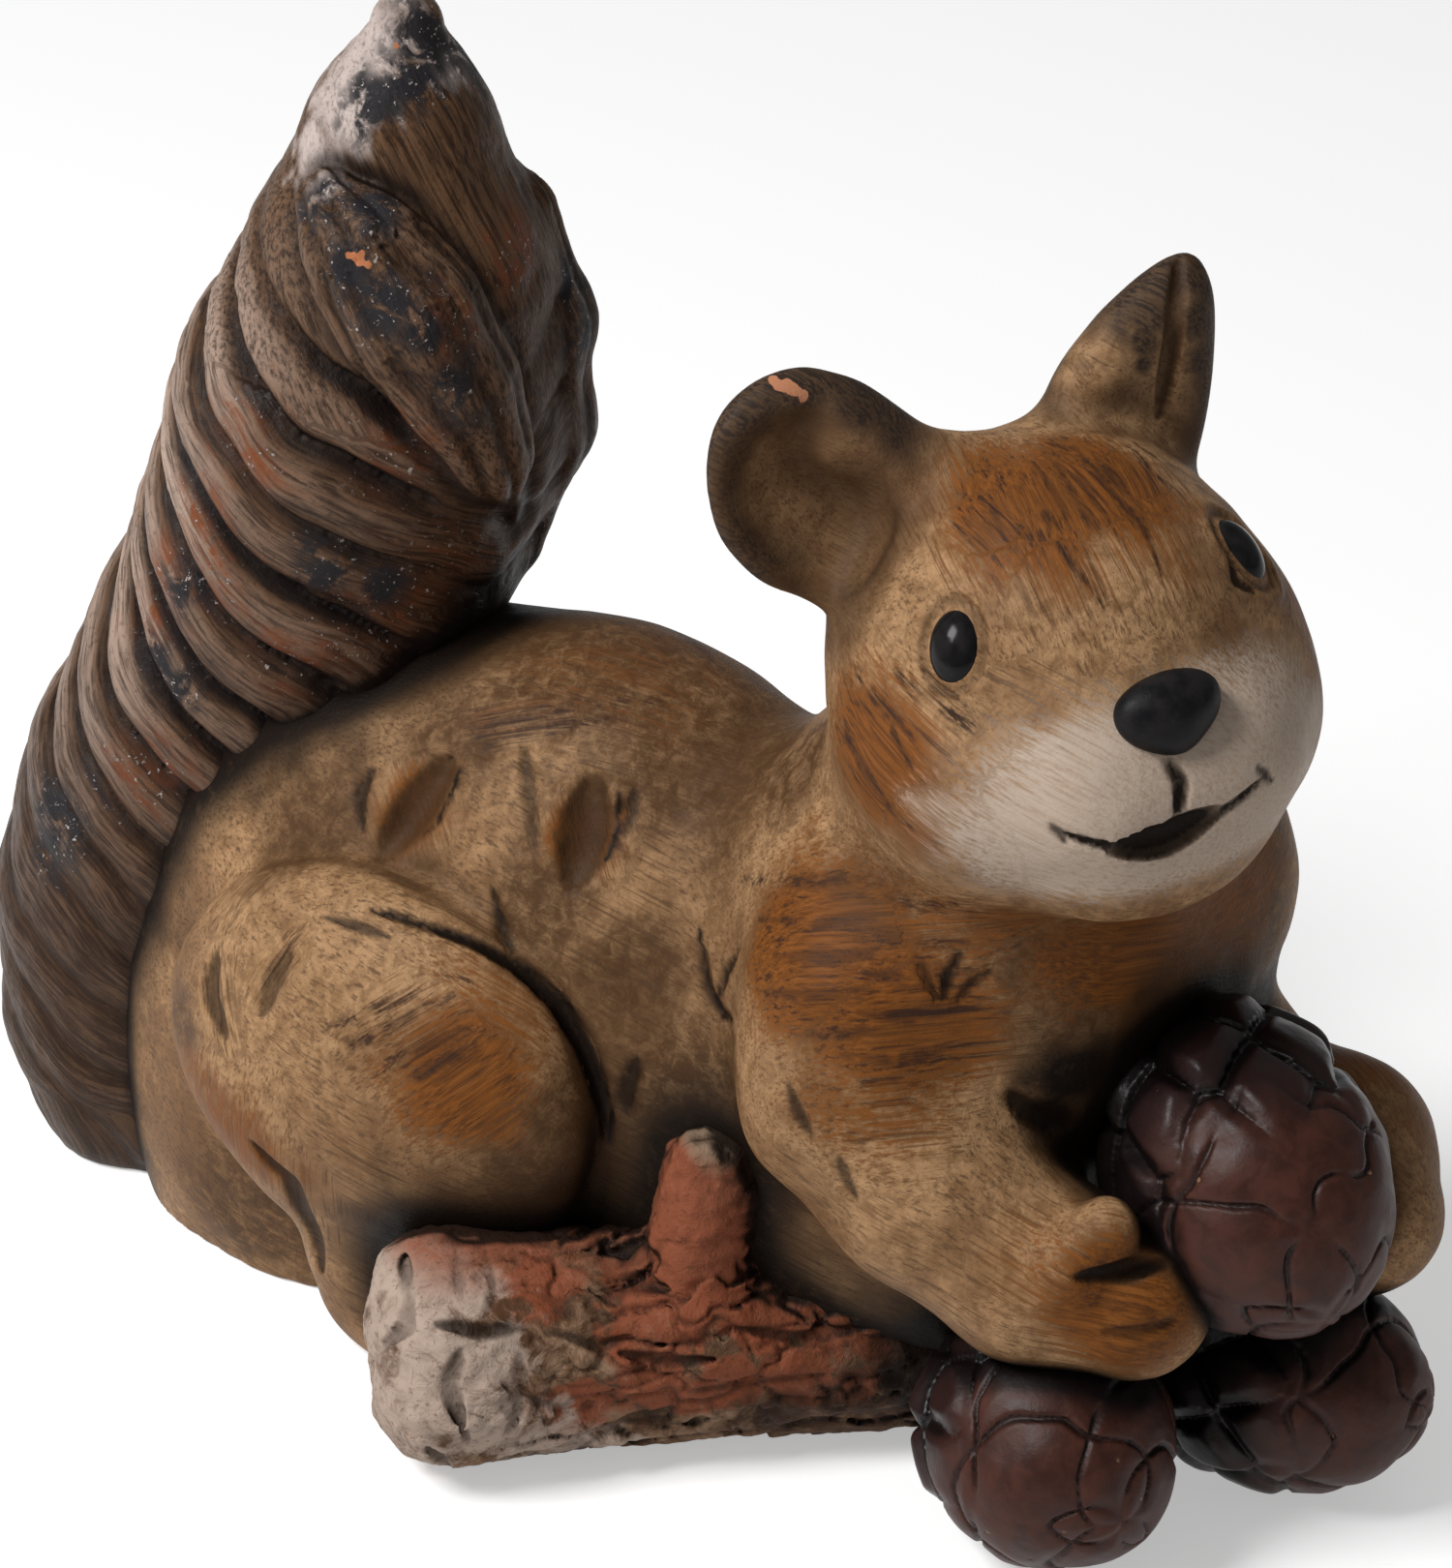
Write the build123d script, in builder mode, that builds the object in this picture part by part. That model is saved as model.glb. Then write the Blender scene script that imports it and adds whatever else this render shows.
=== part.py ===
"""Squirrel figurine of luted terracotta: hollow body, head and tail with limbs, a log and pine cones.

Millimetres, +Z up. +X is the way the body faces and +Y is its left side. The origin lies on the ground
in the resting face of the body.
"""

import os

from build123d import *

# Clay work shared by the whole figure
wall = 5.0
lute_gap = 0.25
overrun = 10.0
end_flat_angle = 8.0

# Body
body_length = 150.0
body_half_width = 34.0
body_height = 98.0
rest_middle_share = 0.293
body_vent_radius = 6.0
body_vent_share = 0.45
# Each row: place along the length, half width, underside and top as shares of the body sizes
body_section_shares = [
    (0.00, 0.62, -0.12, 0.66),
    (0.12, 0.90, -0.16, 0.89),
    (0.28, 1.00, -0.16, 0.99),
    (0.45, 0.94, -0.10, 1.00),
    (0.63, 0.82, 0.04, 0.95),
    (0.77, 0.87, 0.17, 0.92),
    (0.90, 0.80, 0.24, 0.90),
    (0.97, 0.58, 0.33, 0.83),
    (1.01, 0.27, 0.46, 0.70),
]

# Neck stump that carries the head
neck_radius = 17.0
neck_vent_radius = 6.0
neck_top_share = 0.92
neck_foot_share = 0.75
neck_flare_share = 1.06
neck_place_shares = (0.895, -0.06)

# Head
head_half_length = 29.0
head_half_width = 30.0
head_half_height = 28.5
head_wall = 7.0
head_turn = -37.0
head_lift = 14.0
head_tilt = 7.0
head_place_shares = (0.903, -0.07)
head_rise_share = 0.80

# Muzzle, as a fuller front of the head
muzzle_half_length = 18.0
muzzle_half_width = 21.0
muzzle_half_height = 15.0
muzzle_place_shares = (0.52, 0.0, -0.32)
mouth_slit_width = 1.6
mouth_slit_depth = 5.0
mouth_half_width_share = 0.62
mouth_corner_share = -0.02
mouth_middle_share = -0.38

# Ears
ear_half_thickness = 5.0
ear_half_width = 13.0
ear_half_height = 15.0
ear_splay = 35.0
ear_place_shares = (-0.20, 0.85, 1.00)
ear_bowl_share = 0.76
ear_bowl_shift_share = 0.85

# Eyes
eye_half_depth = 3.0
eye_half_width = 3.2
eye_half_height = 4.8
eye_turn = 42.0
eye_lift = 22.0
eye_place_shares = (0.67, 0.64, 0.42)

# Nose
nose_half_depth = 4.0
nose_half_width = 6.5
nose_half_height = 5.0
nose_place_shares = (1.02, 0.0, 0.05)

# Thighs
thigh_half_length = 33.0
thigh_half_thickness = 15.0
thigh_half_height = 28.0
thigh_place_shares = (0.347, 0.97, 0.444)

# Hind feet
foot_half_length = 22.0
foot_half_width = 9.0
foot_half_height = 8.0
foot_place_shares = (0.335, 1.05, 0.80)

# Forelegs: each an upper arm and a forearm with the paw, egg-shaped rolls set by body shares and angles
upper_arm_half_length = 21.0
upper_arm_radius = 14.0
forearm_half_length = 23.0
forearm_radius = 11.5
upper_arm_right_shares = (0.825, -0.70, 0.625)
upper_arm_right_angles = (0.0, 68.0, -20.0)
forearm_right_shares = (0.950, -0.66, 0.440)
forearm_right_angles = (90.0, 22.0, 14.0)
upper_arm_left_shares = (0.955, 0.78, 0.620)
upper_arm_left_angles = (0.0, 45.0, 12.0)
forearm_left_shares = (1.090, 0.74, 0.490)
forearm_left_angles = (90.0, 22.0, -42.0)

# Tail: each row is a place behind the rump in tail radii, a share of the height and a share of the radius
tail_height = 178.0
tail_radius = 25.0
tail_vent_radius = 3.5
tail_section_shares = [
    (-0.52, 0.000, 0.76),
    (-0.60, 0.100, 0.78),
    (-0.60, 0.200, 0.80),
    (-0.40, 0.300, 0.84),
    (0.12, 0.420, 0.90),
    (0.76, 0.550, 0.98),
    (1.12, 0.675, 1.00),
    (1.32, 0.787, 0.80),
]
# Tip lock: each row is a share of the stem's top radius and of the height left above the stem
tip_lock_shares = [(1.00, 0.00), (0.88, 0.25), (0.68, 0.50), (0.42, 0.76), (0.20, 0.94)]
# Side locks: places as the tail rows with the sideways place second, the way that each lock points
# and the way that it faces out from the stem
side_lock_half_length = 28.0
side_lock_half_width = 9.5
side_lock_half_thickness = 8.0
near_lock_shares = (1.74, -0.50, 0.740)
near_lock_heading = (-0.22, -0.24, 0.95)
near_lock_outward = (0.73, -0.67, 0.00)
far_lock_shares = (1.90, 0.66, 0.695)
far_lock_heading = (0.00, 0.00, 1.00)
far_lock_outward = (0.73, 0.68, 0.00)

# Log and its cut side twig
log_length = 82.0
log_radius = 14.5
log_turn = 43.0
log_end_round = 6.0
log_place_shares = (0.467, 1.66)
stub_radius = 6.0
stub_height = 13.0
stub_place_share = 0.524

# Pine cones
cone_held_half_length = 21.0
cone_held_radius = 17.5
cone_held_turn = 30.0
cone_held_place_shares = (1.093, -0.06, 0.505)
cone_front_half_length = 20.0
cone_front_radius = 16.0
cone_front_turn = -60.0
cone_front_place_shares = (0.98, -0.65)
cone_side_half_length = 20.0
cone_side_radius = 16.5
cone_side_turn = 20.0
cone_side_step_shares = (0.715, 0.806)

ground_reach = body_length + tail_height


def body_x(share):
    """Place along the body, from its rear, with the origin inside the resting face."""
    return body_length * (share - rest_middle_share)


def body_point(shares):
    """Point set by shares of the body's length, half width and height."""
    along, side, height = shares
    return Vector(body_x(along), body_half_width * side, body_height * height)


def tail_point(along, side, height):
    """Point on the tail, counted in tail radii from the rump and up the tail's height."""
    return Vector(body_x(0) + tail_radius * along, tail_radius * side, tail_height * height)


def ellipsoid(half_sizes, place, grow=0):
    """Unit ball with a small flat at each end of X, scaled to three half sizes and set at a place."""
    with BuildPart() as unit:
        with BuildSketch(Plane.XZ):
            with BuildLine():
                outline = CenterArc((0, 0), 1, end_flat_angle, 180 - 2 * end_flat_angle)
                first, last = outline @ 0, outline @ 1
                Polyline(last, (last.X, 0), (first.X, 0), first)
            make_face()
        revolve(axis=Axis.X)
        scale(by=tuple(half + grow for half in half_sizes))
    with BuildPart() as placed:
        with Locations(place):
            add(unit.part)
    return placed.part


def above_ground(part):
    """Part with everything under the ground plane cut away flat."""
    with BuildPart() as kept:
        add(part)
        with Locations((0, 0, -ground_reach)):
            Box(
                2 * ground_reach,
                2 * ground_reach,
                ground_reach,
                align=(Align.CENTER, Align.CENTER, Align.MIN),
                mode=Mode.SUBTRACT,
            )
    return kept.part


neck_top = body_height * neck_top_share
neck_foot = body_height * neck_foot_share
neck_axis = (body_x(neck_place_shares[0]), body_half_width * neck_place_shares[1])


def body_form(grow=0):
    """Outer form of the body with its neck stump, grown or shrunk evenly, not yet cut at the ground."""
    last = len(body_section_shares) - 1
    with BuildPart() as form:
        for index, (along, half_width, underside, top) in enumerate(body_section_shares):
            end_shift = grow * ((index == last) - (index == 0))
            half_height = body_height * (top - underside) / 2
            middle = body_height * (top + underside) / 2
            with BuildSketch(Plane.YZ.offset(body_x(along) + end_shift)):
                with Locations((0, middle)):
                    Ellipse(body_half_width * half_width + grow, half_height + grow)
        loft()
        with BuildSketch(Plane.XY.offset(neck_foot)):
            with Locations(neck_axis):
                Circle(neck_radius * neck_flare_share + grow)
        with BuildSketch(Plane.XY.offset(neck_top + grow)):
            with Locations(neck_axis):
                Circle(neck_radius + grow)
        loft()
    return form.part


head_place = Location(
    (
        body_x(head_place_shares[0]),
        body_half_width * head_place_shares[1],
        neck_top + head_half_height * head_rise_share,
    ),
    (head_tilt, -head_lift, head_turn),
    Extrinsic.XYZ,
)


def on_head(shares, angles=(0, 0, 0)):
    """Place on the head by shares of its half sizes: forward, left, up, then turned in the head's own frame."""
    forward, left, up = shares
    shift = (head_half_length * forward, head_half_width * left, head_half_height * up)
    return head_place * Location(shift, angles, Extrinsic.XYZ)


def head_form(grow=0):
    """Outer form of the head with the muzzle, grown evenly."""
    with BuildPart() as form:
        add(ellipsoid((head_half_length, head_half_width, head_half_height), head_place, grow))
        muzzle_sizes = (muzzle_half_length, muzzle_half_width, muzzle_half_height)
        add(ellipsoid(muzzle_sizes, on_head(muzzle_place_shares), grow))
    return form.part


def eye_form(side, grow=0):
    """Eye pellet on one side of the head, +1 for left and -1 for right."""
    forward, left, up = eye_place_shares
    place = on_head((forward, side * left, up), (0, -eye_lift, side * eye_turn))
    return ellipsoid((eye_half_depth, eye_half_width, eye_half_height), place, grow)


def nose_form(grow=0):
    """Nose pellet on the muzzle."""
    return ellipsoid((nose_half_depth, nose_half_width, nose_half_height), on_head(nose_place_shares), grow)


def ear_part(side):
    """Cupped ear on one side, +1 for left and -1 for right, shaped to the head it is luted on."""
    forward, left, up = ear_place_shares
    place = on_head((forward, side * left, up), (-side * ear_splay, 0, 0))
    sizes = (ear_half_thickness, ear_half_width, ear_half_height)
    bowl_place = place * Pos(ear_half_thickness * ear_bowl_shift_share, 0, 0)
    with BuildPart() as ear:
        add(ellipsoid(sizes, place))
        add(ellipsoid([size * ear_bowl_share for size in sizes], bowl_place), mode=Mode.SUBTRACT)
        add(head_form(lute_gap), mode=Mode.SUBTRACT)
    return ear.part


def thigh_form(side, grow=0):
    """Pad of one thigh, +1 for left and -1 for right."""
    along, out, height = thigh_place_shares
    place = Location(body_point((along, side * out, height)))
    return ellipsoid((thigh_half_length, thigh_half_thickness, thigh_half_height), place, grow)


def foot_form(side):
    """Hind foot on one side with a flat sole."""
    along, out, height = foot_place_shares
    place = Location((body_x(along), side * body_half_width * out, foot_half_height * height))
    return above_ground(ellipsoid((foot_half_length, foot_half_width, foot_half_height), place))


def foreleg_form(arm_shares, arm_angles, forearm_shares, forearm_angles, grow=0):
    """Foreleg of two egg-shaped rolls pressed into one, from the shoulder to the paw."""
    arm_sizes = (upper_arm_half_length, upper_arm_radius, upper_arm_radius)
    forearm_sizes = (forearm_half_length, forearm_radius, forearm_radius)
    with BuildPart() as form:
        add(ellipsoid(arm_sizes, Location(body_point(arm_shares), arm_angles, Extrinsic.XYZ), grow))
        forearm_place = Location(body_point(forearm_shares), forearm_angles, Extrinsic.XYZ)
        add(ellipsoid(forearm_sizes, forearm_place, grow))
    return form.part


def foreleg_right_form(grow=0):
    """Right foreleg, on the side of the log."""
    return foreleg_form(
        upper_arm_right_shares, upper_arm_right_angles, forearm_right_shares, forearm_right_angles, grow
    )


def foreleg_left_form(grow=0):
    """Left foreleg."""
    return foreleg_form(
        upper_arm_left_shares, upper_arm_left_angles, forearm_left_shares, forearm_left_angles, grow
    )


def tail_form(grow=0):
    """Stem of the tail, standing on the ground and square at its top."""
    points = [tail_point(along, 0, height) for along, height, thick in tail_section_shares]
    radii = [tail_radius * row[-1] for row in tail_section_shares]
    points[0] = points[0] - Vector(0, 0, overrun)
    points[-1] = points[-1] + Vector(0, 0, grow)
    last = len(points) - 1
    with BuildPart() as form:
        for index, point in enumerate(points):
            heading = Vector(0, 0, 1)
            if 0 < index < last:
                heading = points[index + 1] - points[index - 1]
            with BuildSketch(Plane(origin=point, z_dir=heading)):
                Circle(radii[index] + grow)
        loft()
    return form.part


def tip_lock_form(grow=0):
    """Lock that carries the tail on from the top of the stem to its tip."""
    along, height, thick = tail_section_shares[-1]
    stem_top = tail_point(along, 0, height) + Vector(0, 0, lute_gap)
    rise = tail_height - stem_top.Z
    rows = [(tail_radius * thick * wide + grow, rise * up) for wide, up in tip_lock_shares]
    with BuildPart() as form:
        with BuildSketch(Plane(origin=stem_top, x_dir=(1, 0, 0), z_dir=(0, -1, 0))):
            with BuildLine():
                Spline(*rows)
                Polyline(rows[-1], (0, rise + grow), (0, 0), rows[0])
            make_face()
        revolve(axis=Axis(stem_top, (0, 0, 1)))
    return form.part


def side_lock_form(shares, heading, outward):
    """Lock of hair lying on the side of the tail."""
    place = Plane(origin=tail_point(*shares), x_dir=heading, z_dir=outward).location
    return ellipsoid((side_lock_half_length, side_lock_half_width, side_lock_half_thickness), place)


log_place = Location(
    (
        body_x(thigh_place_shares[0]) + thigh_half_length * log_place_shares[0],
        -body_half_width * thigh_place_shares[1] - thigh_half_thickness * log_place_shares[1],
        log_radius,
    ),
    (0, 0, log_turn),
)


def log_form(grow=0):
    """Log lying on the ground, its near end rounded."""
    with BuildPart() as form:
        with BuildSketch(Plane(log_place * Location((-grow, 0, 0), (0, 90, 0)))):
            Circle(log_radius + grow)
        extrude(amount=log_length + 2 * grow)
        log_axis = Axis((log_place * Pos(0, 0, 0)).position, Plane(log_place).x_dir)
        near_rim = form.faces().sort_by(log_axis)[0].edges()
        fillet(near_rim, log_end_round)
    return form.part


def cone_form(half_length, radius, point, turn, grow=0):
    """Egg-shaped pine cone lying on its side, turned about the upright."""
    return ellipsoid((half_length, radius, radius), Location(point, (0, 0, turn)), grow)


cone_held_point = body_point(cone_held_place_shares)
cone_front_point = Vector(
    body_x(cone_front_place_shares[0]), body_half_width * cone_front_place_shares[1], cone_front_radius
)
cone_side_point = Vector(
    cone_front_point.X + (cone_front_radius + cone_side_radius) * cone_side_step_shares[0],
    cone_front_point.Y + (cone_front_radius + cone_side_radius) * cone_side_step_shares[1],
    cone_side_radius,
)


def cone_held_form(grow=0):
    """Cone between the paws."""
    return cone_form(cone_held_half_length, cone_held_radius, cone_held_point, cone_held_turn, grow)


def cone_front_form(grow=0):
    """Cone on the ground under the right paw."""
    return cone_form(cone_front_half_length, cone_front_radius, cone_front_point, cone_front_turn, grow)


def cone_side_form():
    """Cone on the ground under the held cone, against the front one."""
    return cone_form(cone_side_half_length, cone_side_radius, cone_side_point, cone_side_turn)


# Forms that neighbours are shaped to, with the slip joint between
body_seat = body_form(lute_gap)
thigh_right_seat = thigh_form(-1, lute_gap)
thigh_left_seat = thigh_form(1, lute_gap)
foreleg_right_seat = foreleg_right_form(lute_gap)
foreleg_left_seat = foreleg_left_form(lute_gap)
tail_seat = tail_form(lute_gap)
tip_lock_seat = tip_lock_form(lute_gap)
log_seat = log_form(lute_gap)
cone_held_seat = cone_held_form(lute_gap)
cone_front_seat = cone_front_form(lute_gap)

# Hollows inside the body and the tail, over their floors
with BuildPart() as body_core:
    add(body_form(-wall))
    with Locations((0, 0, wall)):
        Box(
            2 * ground_reach,
            2 * ground_reach,
            ground_reach,
            align=(Align.CENTER, Align.CENTER, Align.MAX),
            mode=Mode.SUBTRACT,
        )

with BuildPart() as body_shell:
    add(above_ground(body_form()))
    add(body_core.part, mode=Mode.SUBTRACT)
    with Locations((body_x(body_vent_share), 0, -overrun)):
        Cylinder(
            body_vent_radius,
            wall + 2 * overrun,
            align=(Align.CENTER, Align.CENTER, Align.MIN),
            mode=Mode.SUBTRACT,
        )
    with Locations((*neck_axis, neck_top - 2 * overrun)):
        Cylinder(
            neck_vent_radius,
            3 * overrun,
            align=(Align.CENTER, Align.CENTER, Align.MIN),
            mode=Mode.SUBTRACT,
        )

mouth_plane = Plane(
    on_head(muzzle_place_shares) * Location((muzzle_half_length + overrun, 0, 0), (90, 0, 90), Extrinsic.XYZ)
)
mouth_half_width = muzzle_half_width * mouth_half_width_share
mouth_corner = muzzle_half_height * mouth_corner_share
mouth_middle = muzzle_half_height * mouth_middle_share

with BuildPart() as head_shell:
    add(head_form())
    core_sizes = [half - head_wall for half in (head_half_length, head_half_width, head_half_height)]
    add(ellipsoid(core_sizes, head_place), mode=Mode.SUBTRACT)
    with Locations((*neck_axis, neck_top + lute_gap)):
        Box(
            2 * ground_reach,
            2 * ground_reach,
            ground_reach,
            align=(Align.CENTER, Align.CENTER, Align.MAX),
            mode=Mode.SUBTRACT,
        )
        Cylinder(
            neck_vent_radius,
            2 * overrun,
            mode=Mode.SUBTRACT,
        )
    with BuildSketch(mouth_plane):
        with BuildLine() as smile:
            ThreePointArc(
                (-mouth_half_width, mouth_corner), (0, mouth_middle), (mouth_half_width, mouth_corner)
            )
        SlotArc(smile.edge(), mouth_slit_width)
    extrude(amount=-(overrun + mouth_slit_depth), mode=Mode.SUBTRACT)
    add(eye_form(1, lute_gap), mode=Mode.SUBTRACT)
    add(eye_form(-1, lute_gap), mode=Mode.SUBTRACT)
    add(nose_form(lute_gap), mode=Mode.SUBTRACT)

with BuildPart() as ear_right:
    add(ear_part(-1))

with BuildPart() as ear_left:
    add(ear_part(1))

with BuildPart() as eye_right:
    add(eye_form(-1))

with BuildPart() as eye_left:
    add(eye_form(1))

with BuildPart() as nose_button:
    add(nose_form())

with BuildPart() as thigh_right:
    add(above_ground(thigh_form(-1)))
    add(body_seat, mode=Mode.SUBTRACT)

with BuildPart() as thigh_left:
    add(above_ground(thigh_form(1)))
    add(body_seat, mode=Mode.SUBTRACT)

with BuildPart() as hind_foot_right:
    add(foot_form(-1))
    add(body_seat, mode=Mode.SUBTRACT)
    add(thigh_right_seat, mode=Mode.SUBTRACT)
    add(log_seat, mode=Mode.SUBTRACT)

with BuildPart() as hind_foot_left:
    add(foot_form(1))
    add(body_seat, mode=Mode.SUBTRACT)
    add(thigh_left_seat, mode=Mode.SUBTRACT)

with BuildPart() as foreleg_right:
    add(foreleg_right_form())
    add(body_seat, mode=Mode.SUBTRACT)

with BuildPart() as foreleg_left:
    add(foreleg_left_form())
    add(body_seat, mode=Mode.SUBTRACT)

with BuildPart() as tail_core:
    add(tail_form(-wall))
    with Locations((0, 0, wall)):
        Box(
            2 * ground_reach,
            2 * ground_reach,
            ground_reach,
            align=(Align.CENTER, Align.CENTER, Align.MAX),
            mode=Mode.SUBTRACT,
        )

tail_foot = tail_point(tail_section_shares[0][0], 0, 0)

with BuildPart() as tail_stem:
    add(above_ground(tail_form()))
    add(body_seat, mode=Mode.SUBTRACT)
    add(tail_core.part, mode=Mode.SUBTRACT)
    with Locations(tail_foot):
        Cylinder(
            tail_vent_radius,
            2 * (wall + overrun),
            mode=Mode.SUBTRACT,
        )

with BuildPart() as tail_tip_lock:
    add(tip_lock_form())

with BuildPart() as tail_near_lock:
    add(side_lock_form(near_lock_shares, near_lock_heading, near_lock_outward))
    add(body_seat, mode=Mode.SUBTRACT)
    add(tail_seat, mode=Mode.SUBTRACT)
    add(tip_lock_seat, mode=Mode.SUBTRACT)

with BuildPart() as tail_far_lock:
    add(side_lock_form(far_lock_shares, far_lock_heading, far_lock_outward))
    add(body_seat, mode=Mode.SUBTRACT)
    add(tail_seat, mode=Mode.SUBTRACT)
    add(tip_lock_seat, mode=Mode.SUBTRACT)

with BuildPart() as log:
    add(log_form())
    add(body_seat, mode=Mode.SUBTRACT)
    add(thigh_right_seat, mode=Mode.SUBTRACT)
    add(foreleg_right_seat, mode=Mode.SUBTRACT)

with BuildPart() as branch_stub:
    with Locations(log_place * Pos(log_length * stub_place_share, 0, 0)):
        Cylinder(
            stub_radius,
            log_radius + stub_height,
            align=(Align.CENTER, Align.CENTER, Align.MIN),
        )
    add(log_seat, mode=Mode.SUBTRACT)
    add(body_seat, mode=Mode.SUBTRACT)

with BuildPart() as cone_held:
    add(cone_held_form())
    add(body_seat, mode=Mode.SUBTRACT)
    add(foreleg_right_seat, mode=Mode.SUBTRACT)
    add(foreleg_left_seat, mode=Mode.SUBTRACT)

with BuildPart() as cone_front:
    add(cone_front_form())
    add(foreleg_right_seat, mode=Mode.SUBTRACT)
    add(cone_held_seat, mode=Mode.SUBTRACT)
    add(log_seat, mode=Mode.SUBTRACT)

with BuildPart() as cone_side:
    add(cone_side_form())
    add(foreleg_left_seat, mode=Mode.SUBTRACT)
    add(cone_held_seat, mode=Mode.SUBTRACT)
    add(cone_front_seat, mode=Mode.SUBTRACT)

pieces = {
    "body_shell": body_shell,
    "head_shell": head_shell,
    "ear_right": ear_right,
    "ear_left": ear_left,
    "eye_right": eye_right,
    "eye_left": eye_left,
    "nose_button": nose_button,
    "thigh_right": thigh_right,
    "thigh_left": thigh_left,
    "hind_foot_right": hind_foot_right,
    "hind_foot_left": hind_foot_left,
    "foreleg_right": foreleg_right,
    "foreleg_left": foreleg_left,
    "tail_stem": tail_stem,
    "tail_tip_lock": tail_tip_lock,
    "tail_near_lock": tail_near_lock,
    "tail_far_lock": tail_far_lock,
    "log": log,
    "branch_stub": branch_stub,
    "cone_held": cone_held,
    "cone_front": cone_front,
    "cone_side": cone_side,
}

os.makedirs("parts", exist_ok=True)
for name, piece in pieces.items():
    piece.part.label = name
    export_step(piece.part, f"parts/{name}.step")
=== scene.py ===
import math

import bpy
import numpy as np
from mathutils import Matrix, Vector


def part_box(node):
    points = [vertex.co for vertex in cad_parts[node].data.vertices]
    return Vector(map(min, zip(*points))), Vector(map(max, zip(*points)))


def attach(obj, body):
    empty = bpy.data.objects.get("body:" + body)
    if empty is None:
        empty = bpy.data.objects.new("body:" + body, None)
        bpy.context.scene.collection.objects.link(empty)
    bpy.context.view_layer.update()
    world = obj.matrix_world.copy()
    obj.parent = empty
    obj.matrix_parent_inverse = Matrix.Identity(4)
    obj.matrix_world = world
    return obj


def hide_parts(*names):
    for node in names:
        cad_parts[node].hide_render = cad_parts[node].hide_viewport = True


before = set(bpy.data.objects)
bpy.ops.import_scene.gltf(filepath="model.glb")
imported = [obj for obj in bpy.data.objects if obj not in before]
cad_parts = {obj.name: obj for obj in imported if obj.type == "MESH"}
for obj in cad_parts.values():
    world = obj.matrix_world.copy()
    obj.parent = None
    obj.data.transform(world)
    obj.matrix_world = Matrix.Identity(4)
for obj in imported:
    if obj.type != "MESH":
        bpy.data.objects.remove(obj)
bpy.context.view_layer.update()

import openvdb
from mathutils import Vector

# The clay is modelled as distance fields in millimetres, in the frame of the CAD model.
# A field is below zero inside the clay. Each piece is meshed from its field and written in metres.
metre = 1000.0

# The photograph's view, which also places the brush marks and cuts on the clay
photo_width = 1500.0
photo_height = 1620.0
view_azimuth = math.radians(34.0)
view_elevation = math.radians(28.0)
view_distance = 700.0
view_focal_pixels = 5600.0
view_target = np.array([40.0, 0.0, 80.0])
view_sensor = 36.0


# Measuring tools

far_off = 1e6
tiny = 1e-6


def spot(node, shares):
    """Point of a CAD node's box, by shares of its sides, in millimetres."""
    low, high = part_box(node)
    return np.array([metre * (a + (b - a) * share) for a, b, share in zip(low, high, shares)])


def turned(heading, lift, tilt):
    """Axes of a form turned left by its heading, raised by its lift and rolled by its tilt, as columns."""
    a, b, c = (math.radians(angle) for angle in (heading, -lift, tilt))
    about_z = np.array([[math.cos(a), -math.sin(a), 0], [math.sin(a), math.cos(a), 0], [0, 0, 1]])
    about_y = np.array([[math.cos(b), 0, math.sin(b)], [0, 1, 0], [-math.sin(b), 0, math.cos(b)]])
    about_x = np.array([[1, 0, 0], [0, math.cos(c), -math.sin(c)], [0, math.sin(c), math.cos(c)]])
    return about_z @ about_y @ about_x


def unit(vector):
    return np.asarray(vector) / np.linalg.norm(vector)


def ease(value, start, end):
    """Smooth climb from 0 at start to 1 at end."""
    share = np.clip((value - start) / (end - start), 0, 1)
    return share * share * (3 - 2 * share)


def length_of(vectors):
    return np.sqrt(np.einsum("ij,ij->i", vectors, vectors))


def union(one, other, soft):
    """Smooth join of two fields over a width of soft."""
    if soft <= 0:
        return np.minimum(one, other)
    share = np.clip(0.5 + 0.5 * (other - one) / soft, 0, 1)
    return other + (one - other) * share - soft * share * (1 - share)


def scatter(cells, seed):
    """Even random value between 0 and 1 for whole-number cells, the same each run."""
    mixed = cells[0] * 73856093 ^ cells[1] * 19349663 ^ cells[2] * 83492791 ^ (seed * 2654435761)
    mixed = (mixed ^ (mixed >> 13)) * 1274126177
    mixed = (mixed ^ (mixed >> 16)) & 0xFFFFFF
    return (mixed / float(0xFFFFFF)).astype(np.float32)


grain_shift = 0.37


def grain(points, size, seed):
    """Smooth noise between -1 and 1 with lumps of the given size, a number or one for each axis."""
    place = points / np.asarray(size, np.float32) + grain_shift * seed
    cell = np.floor(place)
    share = place - cell
    share = share * share * (3 - 2 * share)
    cell = cell.astype(np.int64).T
    total = 0
    for i, j, k in np.ndindex(2, 2, 2):
        weight = np.abs(1 - i - share[:, 0]) * np.abs(1 - j - share[:, 1]) * np.abs(1 - k - share[:, 2])
        total = total + weight * scatter((cell[0] + i, cell[1] + j, cell[2] + k), seed)
    return 2 * total - 1


# Basic clay forms

def egg(centre, half_sizes, axes=np.eye(3), taper=0.0):
    """Egg of the given half sizes; taper narrows its sides downwards."""
    centre = np.asarray(centre, np.float32)
    half_sizes = np.asarray(half_sizes, np.float32)
    axes = np.asarray(axes, np.float32)

    def field(points):
        local = (points - centre) @ axes
        if taper:
            local[:, 1] /= np.clip(1 + taper * local[:, 2] / half_sizes[2], 0.5, 1.5)
        local /= half_sizes
        near = length_of(local)
        local /= half_sizes
        return near * (near - 1) / np.maximum(length_of(local), tiny)
    return field


def along_length(points, start, end):
    """Share of a straight length that each point lies at, and the way out from there to the point."""
    along = end - start
    away = points - start
    share = np.clip(away @ along / (along @ along), 0, 1)
    return share, away - share[:, None] * along


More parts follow.
